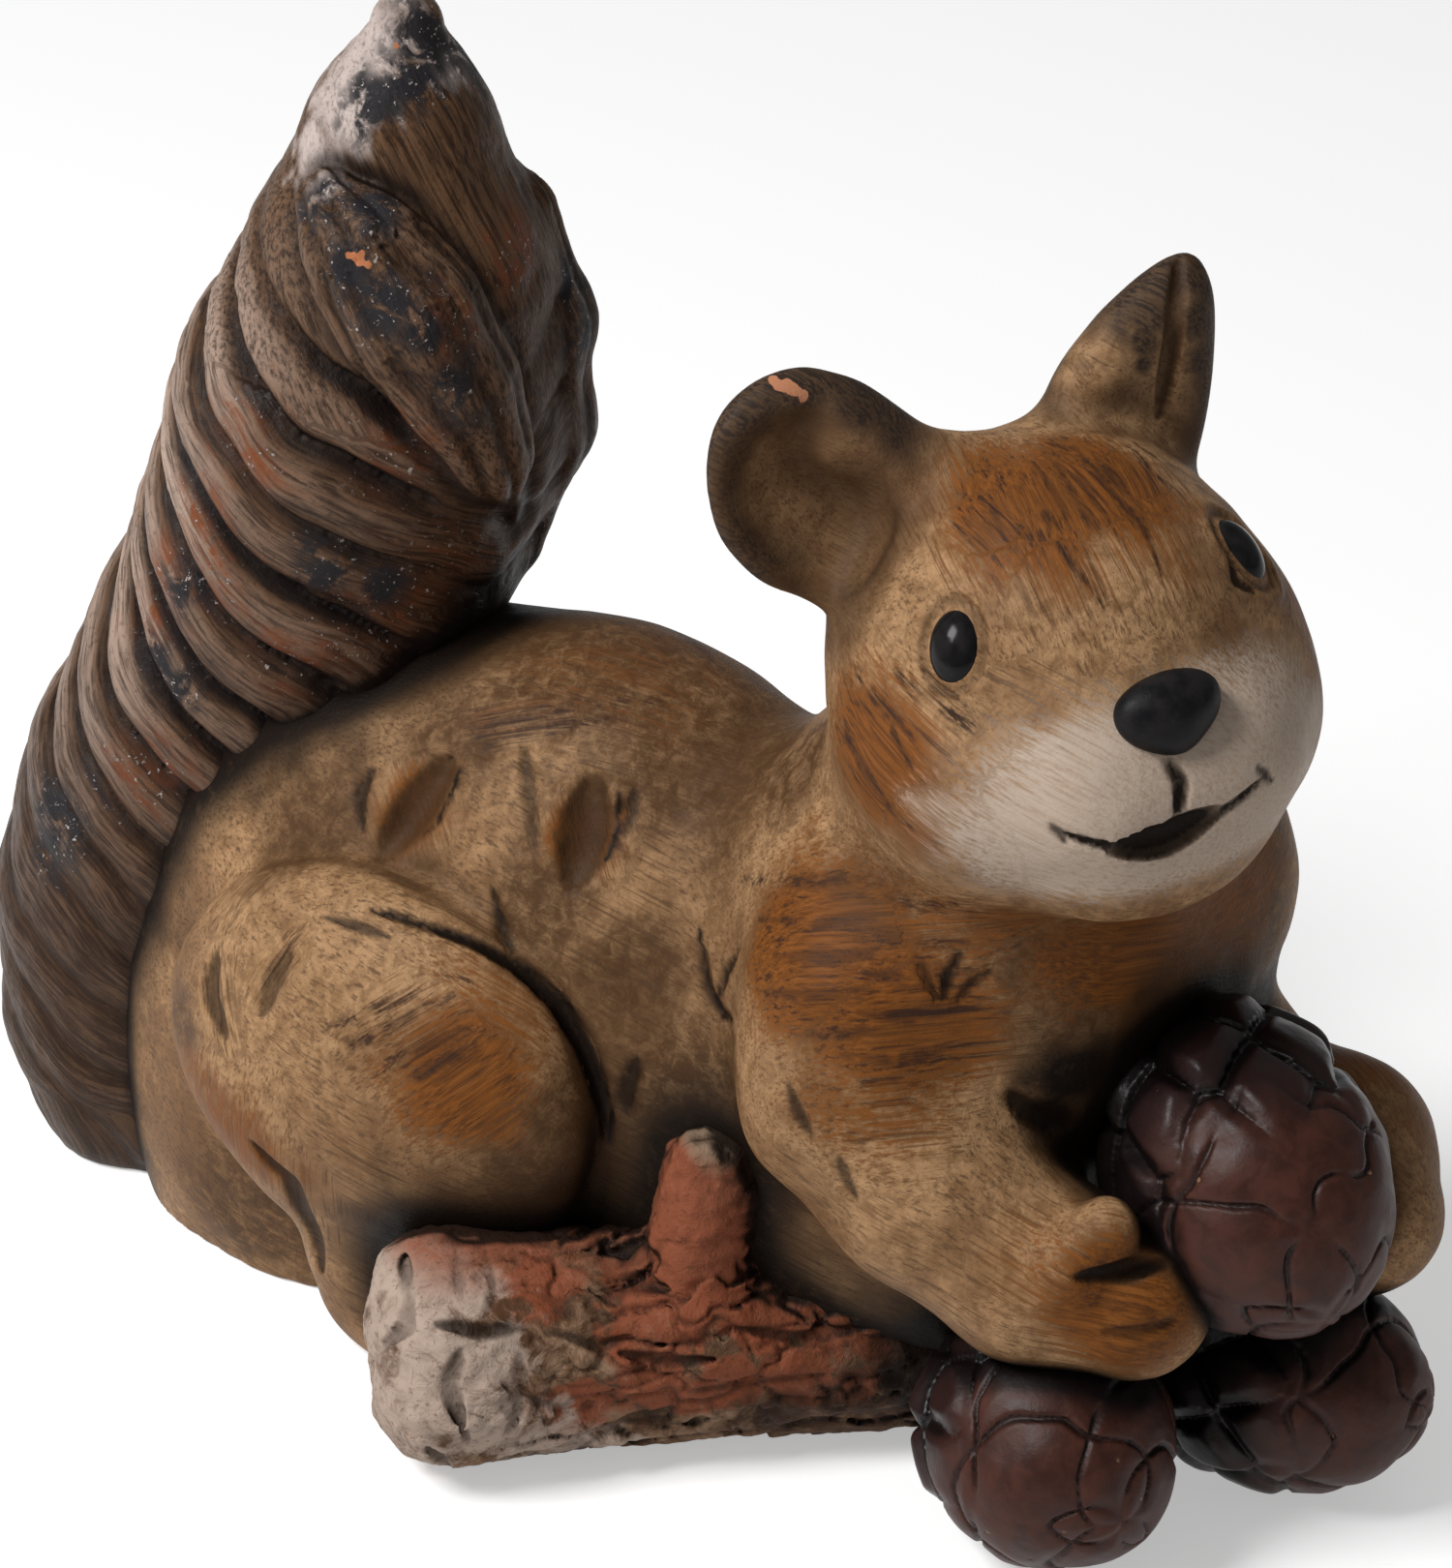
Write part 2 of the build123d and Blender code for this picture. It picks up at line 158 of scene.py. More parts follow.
def limb(centres, radii, soft):
    """Rolled clay limb: tapered lengths from ball to ball, joined softly."""
    centres = np.asarray(centres, np.float32)

    def field(points):
        total = None
        for start, end, first, last in zip(centres, centres[1:], radii, radii[1:]):
            share, out = along_length(points, start, end)
            part = length_of(out) - (first + share * (last - first))
            total = part if total is None else union(total, part, soft)
        return total
    return field


def joined(forms, soft):
    def field(points):
        total = forms[0](points)
        for form in forms[1:]:
            total = union(total, form(points), soft)
        return total
    return field


def hollowed(form, pit, soft):
    def field(points):
        return -union(-form(points), pit(points), soft)
    return field


# Where a pixel of the photograph lands on the clay

view_right = np.array([math.cos(view_azimuth), math.sin(view_azimuth), 0.0])
view_back = np.array(
    [
        math.sin(view_azimuth) * math.cos(view_elevation),
        -math.cos(view_azimuth) * math.cos(view_elevation),
        math.sin(view_elevation),
    ]
)
view_up = np.cross(view_back, view_right)
view_point = view_target + view_distance * view_back
cast_start = 500.0
cast_end = 900.0
cast_steps = 70
cast_care = 0.8
slope_step = 0.5


def cast(pixels, field):
    """Points where the lines of sight through the pixels meet the clay."""
    pixels = np.asarray(pixels, float)
    sight = (
        -view_back * view_focal_pixels
        + view_right * (pixels[:, :1] - photo_width / 2)
        - view_up * (pixels[:, 1:] - photo_height / 2)
    )
    sight /= length_of(sight)[:, None]
    reach = np.full(len(pixels), cast_start)
    for step in range(cast_steps):
        gap = field((view_point + sight * reach[:, None]).astype(np.float32))
        reach = np.minimum(reach + cast_care * gap, cast_end)
    return (view_point + sight * reach[:, None])[reach < cast_end - 1]


def slope(field, points):
    """Outward direction of a field at the points."""
    sides = []
    for axis in slope_step * np.eye(3):
        sides.append(field((points + axis).astype(np.float32)) - field((points - axis).astype(np.float32)))
    out = np.stack(sides, 1)
    return out / np.maximum(length_of(out), tiny)[:, None]


# Body, head and limbs

# Lumps of the body: shares of its box and half sizes
body_lumps = {
    "rump": ((0.212, 0.50, 0.440), (36.0, 33.0, 46.5)),
    "middle": ((0.421, 0.50, 0.529), (44.0, 32.0, 44.0)),
    "chest": ((0.775, 0.53, 0.610), (30.0, 31.0, 42.0)),
    "belly": ((0.56, 0.48, 0.28), (52.0, 27.0, 32.0)),
    "haunch": ((0.165, 0.44, 0.16), (35.0, 27.0, 42.0)),
    "far_shoulder": ((0.885, 0.825, 0.73), (19.0, 19.5, 20.5)),
}
neck_shares = [(0.80, 0.50, 0.74), (0.86, 0.48, 0.95)]
neck_radii = (25.0, 22.0)
body_soft = 14.0
body_eggs = [egg(spot("body_shell", shares), half) for shares, half in body_lumps.values()]
neck_form = limb([spot("body_shell", shares) for shares in neck_shares], neck_radii, 0)
body_form = joined(body_eggs + [neck_form], body_soft)

head_shares = (0.444, 0.479, 0.448)
head_turn = (-33.0, 11.0, 7.0)
head_centre = spot("head_shell", head_shares)
head_axes = turned(*head_turn)
# Lumps of the head: place from its middle, half sizes and sides
head_lumps = {
    "skull": ((0.0, 1.0, 0.0), (29.0, 28.0, 28.5), (1,)),
    "muzzle": ((15.0, 0.0, -9.0), (18.0, 21.0, 15.0), (1,)),
    "cheeks": ((7.0, 15.8, -6.5), (17.0, 12.5, 14.0), (-1, 1)),
    "lips": ((25.0, 7.5, -7.5), (8.0, 8.5, 7.5), (-1, 1)),
    "chin": ((20.0, 0.0, -18.5), (9.0, 12.0, 6.5), (1,)),
}
head_soft = 8.0


def on_head(place, side=1):
    """Point of the head from its middle: forwards, to the figure's left times side, and up."""
    return head_centre + head_axes @ (np.array(place) * (1, side, 1))


def head_local(points):
    return (points - head_centre) @ head_axes


head_eggs = [
    egg(on_head(place, side), half, head_axes) for place, half, sides in head_lumps.values() for side in sides
]
head_form = joined(head_eggs, head_soft)

ear_places = {-1: (-6.0, -23.0, 28.3), 1: (-6.0, 19.2, 26.5)}
ear_halves = {-1: (5.5, 13.0, 15.5), 1: (5.5, 10.6, 19.4)}
ear_tapers = {-1: 0.0, 1: -0.32}
ear_pit_half = (6.4, 11.0, 13.0)
ear_pit_steps = {-1: (5.0, -3.0, 0.0), 1: (10.0, 2.5, -1.0)}
ear_splay = 35.0
ear_pit_soft = 3.5
ear_fold_places = [(-6.0, -19.0, 33.4), (-5.0, -9.5, 25.4), (-3.0, -3.5, 20.5)]
ear_fold_radii = (4.2, 5.0, 4.0)
ear_axes = {side: head_axes @ turned(0, 0, -side * ear_splay) for side in (-1, 1)}
ear_centre = {side: on_head(ear_places[side]) for side in (-1, 1)}


def ear_form(side):
    """Ear pressed hollow at its front; the far one comes to a point."""
    pit_centre = ear_centre[side] + ear_axes[side] @ np.array(ear_pit_steps[side])
    lobe = egg(ear_centre[side], ear_halves[side], ear_axes[side], ear_tapers[side])
    lobe = hollowed(lobe, egg(pit_centre, ear_pit_half, ear_axes[side]), ear_pit_soft)
    if side > 0:
        return lobe
    fold = limb([on_head(place) for place in ear_fold_places], ear_fold_radii, 0)
    return joined([lobe, fold], ear_pit_soft)


thigh_half = (33.0, 15.0, 28.0)
thigh_shares = {-1: (0.5, 0.76, 0.5), 1: (0.5, 0.24, 0.5)}
foot_half = (17.0, 9.0, 8.5)
foot_shares = {-1: (0.66, 0.76, 0.44), 1: (0.66, 0.24, 0.44)}
shin_half = (14.0, 11.0, 20.0)
shin_step = np.array([-5.0, 0.0, 13.0])
foot_soft = 2.5


def thigh_form(node, side):
    return egg(spot(node, thigh_shares[side]), thigh_half)


def foot_form(node, side):
    sole = spot(node, foot_shares[side])
    return joined([egg(sole, foot_half), egg(sole + shin_step, shin_half)], foot_soft)


near_arm_shares = [
    (0.18, 0.61, 0.80), (0.21, 0.47, 0.57), (0.40, 0.47, 0.38), (0.65, 0.55, 0.22), (0.87, 0.68, 0.17),
]
near_arm_radii = (15.0, 14.0, 12.5, 11.3, 10.5)
far_arm_shares = [(0.15, 0.47, 0.60), (0.37, 0.53, 0.16), (0.68, 0.46, 0.14), (0.80, 0.26, 0.05)]
far_arm_radii = (13.0, 11.0, 10.8, 10.5)
arm_soft = 5.0


def arm_form(node, shares, radii):
    return limb([spot(node, share) for share in shares], radii, arm_soft)


near_arm = arm_form("foreleg_right", near_arm_shares, near_arm_radii)
thumb_pixels = [(1106, 1304), (1142, 1274)]
thumb_radii = (4.8, 4.2)
thumb_sinks = np.array([[2.2], [-0.6]])
thumb_soft = 2.5
thumb_line = cast(thumb_pixels, near_arm)
thumb = limb(thumb_line - thumb_sinks * slope(near_arm, thumb_line), thumb_radii, 0)

# Fur pieces in the order they are luted on, with how softly each joint is smoothed over
fur_pieces = {
    "body_shell": (body_form, 0.0),
    "head_shell": (head_form, 7.0),
    "ear_right": (ear_form(-1), 6.5),
    "ear_left": (ear_form(1), 4.0),
    "thigh_right": (thigh_form("thigh_right", -1), 3.0),
    "thigh_left": (thigh_form("thigh_left", 1), 3.0),
    "hind_foot_right": (foot_form("hind_foot_right", -1), 3.0),
    "hind_foot_left": (foot_form("hind_foot_left", 1), 3.0),
    "foreleg_right": (joined([near_arm, thumb], thumb_soft), 5.0),
    "foreleg_left": (arm_form("foreleg_left", far_arm_shares, far_arm_radii), 5.0),
}

# Tail

tail_shares = [
    (0.285, 0.46, 0.071), (0.275, 0.47, 0.129), (0.287, 0.49, 0.257), (0.358, 0.5, 0.385),
    (0.480, 0.5, 0.535), (0.622, 0.5, 0.700), (0.711, 0.5, 0.857), (0.767, 0.5, 0.999),
]
tail_radii = (20.8, 22.4, 23.6, 24.2, 23.8, 24.4, 24.8, 19.8)
tip_shares = [(0.498, 0.5, 0.0), (0.530, 0.5, 0.469), (0.568, 0.5, 0.885)]
tip_radii = (19.8, 12.0, 4.6)
near_lock_pixels = [(334, 204), (378, 262), (426, 330), (476, 404), (512, 468), (540, 540)]
near_lock_radii = (5.0, 7.4, 8.4, 7.4, 5.2, 2.6)
near_lock_sink = 2.6
far_lock_shares = [(-0.05, 0.22, 0.07), (0.23, 0.34, 0.36), (0.27, 0.33, 0.63), (0.26, 0.22, 0.92)]
far_lock_radii = (6.0, 7.2, 7.2, 4.2)
tail_soft = 6.0

tail_spine = np.array([spot("tail_stem", share) for share in tail_shares])
tip_spine = np.array([spot("tail_tip_lock", share) for share in tip_shares])
stem_form = limb(tail_spine, tail_radii, tail_soft)
tip_form = limb(tip_spine, tip_radii, tail_soft)
tail_core = joined([stem_form, tip_form], tail_soft)
near_lock_line = cast(near_lock_pixels, tail_core)
near_lock_spine = near_lock_line - near_lock_sink * slope(tail_core, near_lock_line)
far_lock_spine = np.array([spot("tail_far_lock", share) for share in far_lock_shares])

tail_pieces = {
    "tail_stem": (stem_form, 0.0),
    "tail_tip_lock": (tip_form, 4.0),
    "tail_near_lock": (limb(near_lock_spine, near_lock_radii, tail_soft), 2.2),
    "tail_far_lock": (limb(far_lock_spine, far_lock_radii, tail_soft), 4.0),
}

# Log and stub

log_start = spot("log", (0.070, 0.148, 0.53))
log_end = spot("log", (0.847, 0.896, 0.50))
log_radius = 14.4
log_end_swell = 1.2
log_round = 10.5
log_heading = unit(log_end - log_start)
log_length = np.linalg.norm(log_end - log_start)
stub_foot = spot("branch_stub", (0.5, 0.5, -0.6))
stub_top = spot("branch_stub", (0.62, 0.62, 0.92))
stub_radii = (7.4, 6.8)


def log_place(points):
    """Distance along the log and from its middle line."""
    away = points - log_start
    along = away @ log_heading
    return along, length_of(away - along[:, None] * log_heading)


def log_form(points):
    along, out = log_place(points)
    swell = log_end_swell * ease(along, 0.5 * log_length, 0.0)
    past_side = out - (log_radius + swell - log_round)
    past_end = np.abs(along - log_length / 2) - (log_length / 2 - log_round)
    outside = np.sqrt(np.maximum(past_side, 0) ** 2 + np.maximum(past_end, 0) ** 2)
    return outside + np.minimum(np.maximum(past_side, past_end), 0) - log_round


bark_pieces = {
    "log": (log_form, 0.0),
    "branch_stub": (limb([stub_foot, stub_top], stub_radii, 0), 5.0),
}

# Pine cones

cone_shapes = {
    "cone_held": ((0.405, 0.54, 0.525), (23.0, 17.5, 17.5), (-30.0, -28.0)),
    "cone_front": ((0.5, 0.5, 0.500), (19.0, 15.8, 15.8), (-28.0, -4.0)),
    "cone_side": ((0.37, 0.57, 0.46), (19.6, 14.6, 14.4), (20.0, 0.0)),
}
cone_centre = {name: spot(name, shape[0]) for name, shape in cone_shapes.items()}
cone_axes = {name: turned(*shape[2], 0) for name, shape in cone_shapes.items()}
cone_forms = {name: egg(cone_centre[name], shape[1], cone_axes[name]) for name, shape in cone_shapes.items()}


def merged(pieces):
    """Field of all the pieces of one clay, their joints smoothed over."""
    def field(points):
        total = None
        for form, soft in pieces.values():
            total = form(points) if total is None else union(total, form(points), soft)
        return total
    return field


fur_clay = merged(fur_pieces)
tail_clay = merged(tail_pieces)
bark_clay = merged(bark_pieces)


def whole_figure(points):
    total = np.minimum(np.minimum(fur_clay(points), tail_clay(points)), bark_clay(points))
    for form in cone_forms.values():
        total = np.minimum(total, form(points))
    return total


mirror = np.array([1.0, -1.0, 1.0], np.float32)

# Cuts made with a tool in the clay: pixels, half width, depth, and how dark the wash in them is
body_cuts = [
    ([(338, 948), (372, 958), (402, 968)], 0.9, 0.7, 0.8),
    (
        [(384, 940), (440, 955), (490, 972), (534, 996), (577, 1037), (606, 1087), (624, 1140), (630, 1178)],
        1.3, 1.9, 1.4,
    ),
    ([(507, 918), (517, 955), (532, 990)], 0.9, 1.2, 0.9),
    ([(722, 962), (730, 1020), (746, 1048), (760, 1056)], 1.0, 1.4, 1.0),
    ([(764, 978), (750, 1004), (742, 1030)], 0.9, 1.2, 0.9),
    ([(992, 982), (980, 1008), (974, 1034)], 0.9, 1.1, 0.9),
    ([(1024, 1002), (1002, 1018), (984, 1040)], 0.8, 1.0, 0.8),
    ([(950, 985), (955, 1005), (972, 1040)], 0.7, 0.8, 0.7),
    ([(462, 786), (430, 830), (396, 880)], 3.4, 2.6, 0.15),
    ([(474, 796), (450, 846), (408, 886)], 0.9, 1.0, 1.2),
    ([(386, 792), (372, 822), (374, 858)], 1.2, 1.0, 0.8),
    ([(612, 806), (604, 858), (590, 916)], 3.8, 3.0, 0.25),
    ([(640, 822), (634, 872), (598, 918)], 0.9, 1.2, 1.3),
    ([(540, 768), (546, 818), (552, 880)], 1.3, 1.1, 0.6),
    ([(656, 812), (652, 838), (642, 866)], 1.1, 1.0, 0.7),
    ([(222, 985), (217, 1030), (232, 1072)], 2.0, 0.9, 0.7),
    ([(300, 985), (280, 1015), (268, 1050)], 1.8, 0.7, 0.6),
    ([(262, 1182), (300, 1220), (324, 1272), (332, 1312)], 2.0, 1.1, 0.8),
    ([(812, 1120), (822, 1150), (838, 1176)], 1.2, 0.8, 0.8),
    ([(866, 1196), (872, 1216), (884, 1240)], 1.0, 0.7, 0.7),
    ([(1040, 1130), (1062, 1150), (1092, 1166)], 1.6, 0.9, 0.8),
    ([(660, 1092), (648, 1124), (644, 1150)], 1.4, 0.9, 0.8),
]
paw_cuts = [
    ([(1112, 1320), (1160, 1313), (1208, 1303)], 1.5, 1.9, 1.0),
    ([(1140, 1376), (1180, 1376), (1216, 1364)], 1.1, 0.8, 0.6),
]
face_cuts = [
    ([(1086, 858), (1130, 872), (1180, 879), (1232, 860), (1276, 831), (1308, 802)], 0.9, 1.7, 1.5),
    ([(1150, 878), (1206, 868), (1260, 840)], 2.5, 4.0, 1.0),
    ([(1204, 780), (1221, 808), (1217, 850)], 1.0, 1.7, 1.6),
    ([(1082, 852), (1094, 862), (1102, 872)], 0.8, 0.8, 0.9),
    ([(1300, 793), (1308, 800), (1314, 808)], 0.8, 0.8, 0.9),
    ([(1268, 566), (1276, 600), (1294, 612)], 0.9, 0.8, 0.9),
]
ear_cuts = [
    ([(1218, 266), (1215, 320), (1206, 380), (1198, 430)], 1.5, 1.3, 0.35),
]
# Strokes of a stiff brush, which leave paint and no depth
face_strokes = [
    (pixels, 0.6, 0.0, 1.0) for pixels in (
        [(1047, 481), (1074, 524), (1105, 578), (1140, 629)], [(1082, 470), (1113, 516), (1128, 547)],
        [(1113, 466), (1151, 508), (1183, 547), (1206, 621)], [(1159, 454), (1198, 493), (1229, 516)],
        [(1012, 493), (1027, 532), (1040, 560)], [(1144, 446), (1190, 468), (1237, 493)],
        [(1066, 476), (1090, 512), (1106, 536)], [(1130, 470), (1150, 495), (1172, 512)],
        [(884, 695), (911, 734), (942, 796)], [(868, 741), (887, 788), (919, 835)],
        [(926, 695), (965, 726), (1012, 765)], [(957, 718), (996, 745), (1015, 752)],
        [(895, 796), (926, 842), (973, 873)], [(900, 710), (925, 742), (948, 770)],
        [(876, 760), (900, 800), (930, 845)],
    )
]
body_strokes = [
    (pixels, 1.0, 0.0, 0.9) for pixels in (
        [(767, 908), (830, 912), (900, 905)], [(783, 950), (840, 955), (905, 950)],
        [(800, 987), (850, 990), (900, 985)], [(790, 1025), (830, 1030), (890, 1022)],
        [(817, 1067), (860, 1070), (910, 1062)], [(905, 925), (950, 935), (1000, 930)],
        [(900, 965), (960, 975), (1010, 968)], [(890, 1005), (950, 1012), (1005, 1000)],
        [(880, 1045), (940, 1052), (990, 1040)], [(870, 1090), (930, 1095), (985, 1080)],
        [(342, 1090), (400, 1062), (462, 1030)], [(330, 1065), (380, 1045), (440, 1022)],
        [(395, 1105), (440, 1080), (490, 1060)], [(425, 1115), (460, 1095), (500, 1085)],
        [(485, 758), (540, 745), (590, 738)], [(500, 772), (560, 755), (640, 742)],
        [(560, 735), (620, 725), (690, 728)],
    )
]
bark_cuts = [
    ([(452, 1368), (498, 1376), (545, 1372)], 1.3, 1.6, 1.0),
    ([(640, 1398), (690, 1408), (742, 1402)], 1.2, 1.4, 1.0),
    ([(560, 1372), (620, 1392), (650, 1380)], 0.9, 1.0, 0.9),
    ([(760, 1372), (820, 1382), (880, 1376)], 1.0, 1.2, 0.9),
    ([(700, 1440), (780, 1432), (850, 1420)], 0.9, 1.0, 0.8),
    ([(520, 1430), (560, 1452), (620, 1448)], 0.9, 0.9, 0.8),
    ([(560, 1300), (620, 1310), (660, 1300)], 0.9, 0.9, 0.8),
    ([(500, 1290), (510, 1330), (500, 1362)], 0.8, 0.7, 0.6),
    ([(780, 1310), (850, 1330), (900, 1325)], 1.0, 1.0, 0.9),
    ([(440, 1262), (470, 1300), (478, 1340)], 1.0, 0.8, 0.5),
    ([(425, 1278), (416, 1330), (420, 1370), (384, 1402)], 1.5, 1.4, 0.55),
    ([(476, 1396), (464, 1432), (482, 1486)], 1.5, 1.5, 0.6),
    ([(536, 1398), (541, 1440), (524, 1482)], 1.2, 1.0, 0.6),
    ([(440, 1490), (455, 1505), (462, 1515)], 1.2, 1.0, 0.8),
]


def cut_lines(cuts, field, both_sides=False):
    """Cuts as lines on the clay, and on the figure's other side too where asked."""
    lines = []
    for pixels, half_width, depth, wash in cuts:
        line = cast(pixels, field)
        if len(line) > 1:
            lines.append((line, half_width, depth, wash))
            if both_sides:
                lines.append((line * mirror, half_width, depth, wash))
    return lines


cut_end_width = 0.35
cut_width_power = 0.7
cut_depth_power = 0.9
cut_wash_edges = (1.15, 0.6)


def cut_depths(points, lines):
    """How deep the cuts are at the points, and how dark their wash is."""
    depth = np.zeros(len(points), np.float32)
    wash = np.zeros(len(points), np.float32)
    low, high = points.min(0), points.max(0)
    for line, half_width, deep, dark in lines:
        reach = 2 * half_width
        if (line.max(0) + reach < low).any() or (line.min(0) - reach > high).any():
            continue
        inside = np.flatnonzero(((points > line.min(0) - reach) & (points < line.max(0) + reach)).all(1))
        if not len(inside):
            continue
        near = np.full(len(inside), far_off)
        place = np.zeros(len(inside))
        for index, (start, end) in enumerate(zip(line, line[1:])):
            share, out = along_length(points[inside], start, end)
            gap = length_of(out)
            closer = gap < near
            near[closer] = gap[closer]
            place[closer] = (index + share[closer]) / (len(line) - 1)
        width = half_width * (cut_end_width + (1 - cut_end_width) * np.sin(np.pi * place) ** cut_width_power)
        cut = deep * np.clip(1 - (near / width) ** 2, 0, 1) ** cut_depth_power
        depth[inside] = np.maximum(depth[inside], cut)
        edges = [edge * width for edge in cut_wash_edges]
        wash[inside] = np.maximum(wash[inside], dark * ease(near, *edges))
    return depth, np.minimum(wash, 1)


fur_lines = (
    cut_lines(body_cuts, fur_clay, True)
    + cut_lines(paw_cuts + ear_cuts, fur_clay)
    + cut_lines(face_cuts, head_form)
)
stroke_lines = cut_lines(face_strokes, head_form) + cut_lines(body_strokes, fur_clay, True)
bark_lines = cut_lines(bark_cuts, bark_clay)

# Eyes: black almonds set in the face, each in an incised rim

eye_pixel = (984, 668)
eye_half = (2.3, 3.3, 4.5)
eye_sink = 0.9
eye_rim = 1.22
eye_rim_depth = 0.5
eye_lid = 1.55
eye_lid_height = 0.3
eye_rim_width = 0.16
eye_lid_width = 0.22
eye_rim_wash = 0.4

near_eye = head_local(cast([eye_pixel], head_form))[0]


def on_face(place):
    """The point of the head's surface nearest to a place."""
    return place - head_form(place[None, :])[0] * slope(head_form, place[None, :])[0]


eye_spots = {side: on_face(on_head(near_eye, side * -1)) for side in (-1, 1)}


def eye_axes(side):
    """Axes of an eye: out of the face, across it and up."""
    out = slope(head_form, eye_spots[side][None, :])[0]
    across = unit(np.cross(head_axes[:, 2], out))
    return np.stack([out, across, np.cross(out, across)], 1)


eye_frames = {side: eye_axes(side) for side in (-1, 1)}


def eye_rims(points):
    """Depth of the incised rims, less the height of the lids round them, and the dark wash in the rims."""
    depth = np.zeros(len(points), np.float32)
    wash = np.zeros(len(points), np.float32)
    for side in (-1, 1):
        local = (points - eye_spots[side]) @ eye_frames[side]
        ring = np.sqrt((local[:, 1] / eye_half[1]) ** 2 + (local[:, 2] / eye_half[2]) ** 2)
        close = np.abs(local[:, 0]) < 2 * eye_half[2]
        rim = np.exp(-(((ring - eye_rim) / eye_rim_width) ** 2)) * close
        lid = np.exp(-(((ring - eye_lid) / eye_lid_width) ** 2)) * close
        depth += eye_rim_depth * rim - eye_lid_height * lid
        wash = np.maximum(wash, eye_rim_wash * rim)
    return depth, wash


# Surface detail of each clay

hand_lump_size = 13.0
hand_lump_height = 0.45
hand_dent_size = 4.5
hand_dent_height = 0.14
fur_lump_seed = 3


def hand_lumps(points, seed):
    """Unevenness of hand-pressed clay."""
    lumps = hand_lump_height * grain(points, hand_lump_size, seed)
    return lumps + hand_dent_height * grain(points, hand_dent_size, seed + 1)


def fur_detail(points):
    depth, _ = cut_depths(points, fur_lines)
    rims, _ = eye_rims(points)
    return depth + rims + hand_lumps(points, fur_lump_seed)


ridge_pitch = 9.2
ridge_depth = 3.7
ridge_angle = math.radians(62.0)
ridge_around = 20.0
ridge_wander = 3.4
ridge_wander_grain = (24.0, 11)
ridge_shake = 0.9
ridge_shake_grain = (8.0, 12)
ridge_lean = 0.85
ridge_crest_power = 2.5
ridge_row_seed = 5
ridge_least = 0.25
ridge_rise = (28.0, 62.0)
ridge_front = (2.2, 2.9)
ridge_front_loss = 0.75
ridge_tip_loss = 0.92
spine_rounds = 2


def rounded(spine, rounds):
    """A line with its corners cut off, over and over, so that it bends smoothly."""
    for _ in range(rounds):
        first = 0.75 * spine[:-1] + 0.25 * spine[1:]
        second = 0.25 * spine[:-1] + 0.75 * spine[1:]
        corners = np.stack([first, second], 1).reshape(-1, 3)
        spine = np.vstack([spine[:1], corners, spine[-1:]])
    return spine


full_spine = rounded(np.vstack([tail_spine, tip_spine[1:]]), spine_rounds)
spine_steps = np.linalg.norm(np.diff(full_spine, axis=0), axis=1)
spine_reach = np.concatenate([[0], np.cumsum(spine_steps)])
tail_top = spine_reach[-1]
ridge_tip = (tail_top - 46, tail_top - 20)


def tail_place(points):
    """Distance up the tail, and turn round it from the middle of its back to the middle of its front."""
    near = np.full(len(points), far_off, np.float32)
    up = np.zeros(len(points), np.float32)
    round_turn = np.zeros(len(points), np.float32)
    for index, (start, end) in enumerate(zip(full_spine, full_spine[1:])):
        share, out = along_length(points, start, end)
        gap = length_of(out)
        closer = gap < near
        near[closer] = gap[closer]
        up[closer] = (spine_reach[index] + share * spine_steps[index])[closer]
        heading = unit(end - start)
        back = np.array([-heading[2], 0.0, heading[0]])
        round_turn[closer] = np.arctan2(np.abs(out[:, 1]), out @ back)[closer]
    return up, round_turn


def ridge_place(points):
    """Place up and round the tail, and distance across the combed ridges and along them."""
    up, round_turn = tail_place(points)
    across = up * math.sin(ridge_angle) + ridge_around * round_turn * math.cos(ridge_angle)
    across = across + ridge_wander * grain(points, *ridge_wander_grain)
    across = across + ridge_shake * grain(points, *ridge_shake_grain)
    along = ridge_around * round_turn * math.sin(ridge_angle) - up * math.cos(ridge_angle)
    return up, round_turn, across, along


def tail_ridges(points):
    """Height share of the combed ridges (1 on a crest, 0 in a groove) and how strong they are."""
    up, round_turn, across, _ = ridge_place(points)
    phase = across / ridge_pitch
    row = np.floor(phase)
    crest = 1 - np.abs(2 * (phase - row) ** ridge_lean - 1) ** ridge_crest_power
    row = row.astype(np.int64)
    uneven = 0.5 + 0.5 * scatter((row, row * 0, row * 0), ridge_row_seed)
    strength = ease(up, *ridge_rise) * (1 - ridge_front_loss * ease(round_turn, *ridge_front)) * uneven
    strength = np.maximum(strength, ridge_least) * (1 - ridge_tip_loss * ease(up, *ridge_tip))
    return crest, strength


lock_line_count = 4.5
lock_line_wander = 0.5
lock_line_grain = ((9.0, 9.0, 22.0), 21)
lock_line_power = 2.4
lock_line_depth = 0.8
lock_seam_width = 1.3
lock_seam_depth = 1.0
lock_seam_place = 0.6
lock_edge = (-0.8, 1.2)
far_seam_share = 0.2
tail_hair_depth = 0.16
tail_hair_grain = ((1.6, 1.6, 4.0), 31)
tail_lump_share = 0.6
tail_lump_seed = 13


def lock_lines(points, spine):
    """Long combed lines down a side lock."""
    near = np.full(len(points), far_off, np.float32)
    turn = np.zeros(len(points), np.float32)
    for start, end in zip(spine, spine[1:]):
        _, out = along_length(points, start, end)
        gap = length_of(out)
        closer = gap < near
        near[closer] = gap[closer]
        heading = unit(end - start)
        across = unit(np.cross(heading, [1.0, 0.0, 0.0]))
        turn[closer] = np.arctan2(out @ across, out @ np.cross(heading, across))[closer]
    wave = turn * lock_line_count / math.pi + lock_line_wander * grain(points, *lock_line_grain)
    return 1 - np.abs(2 * (wave - np.floor(wave)) - 1) ** lock_line_power


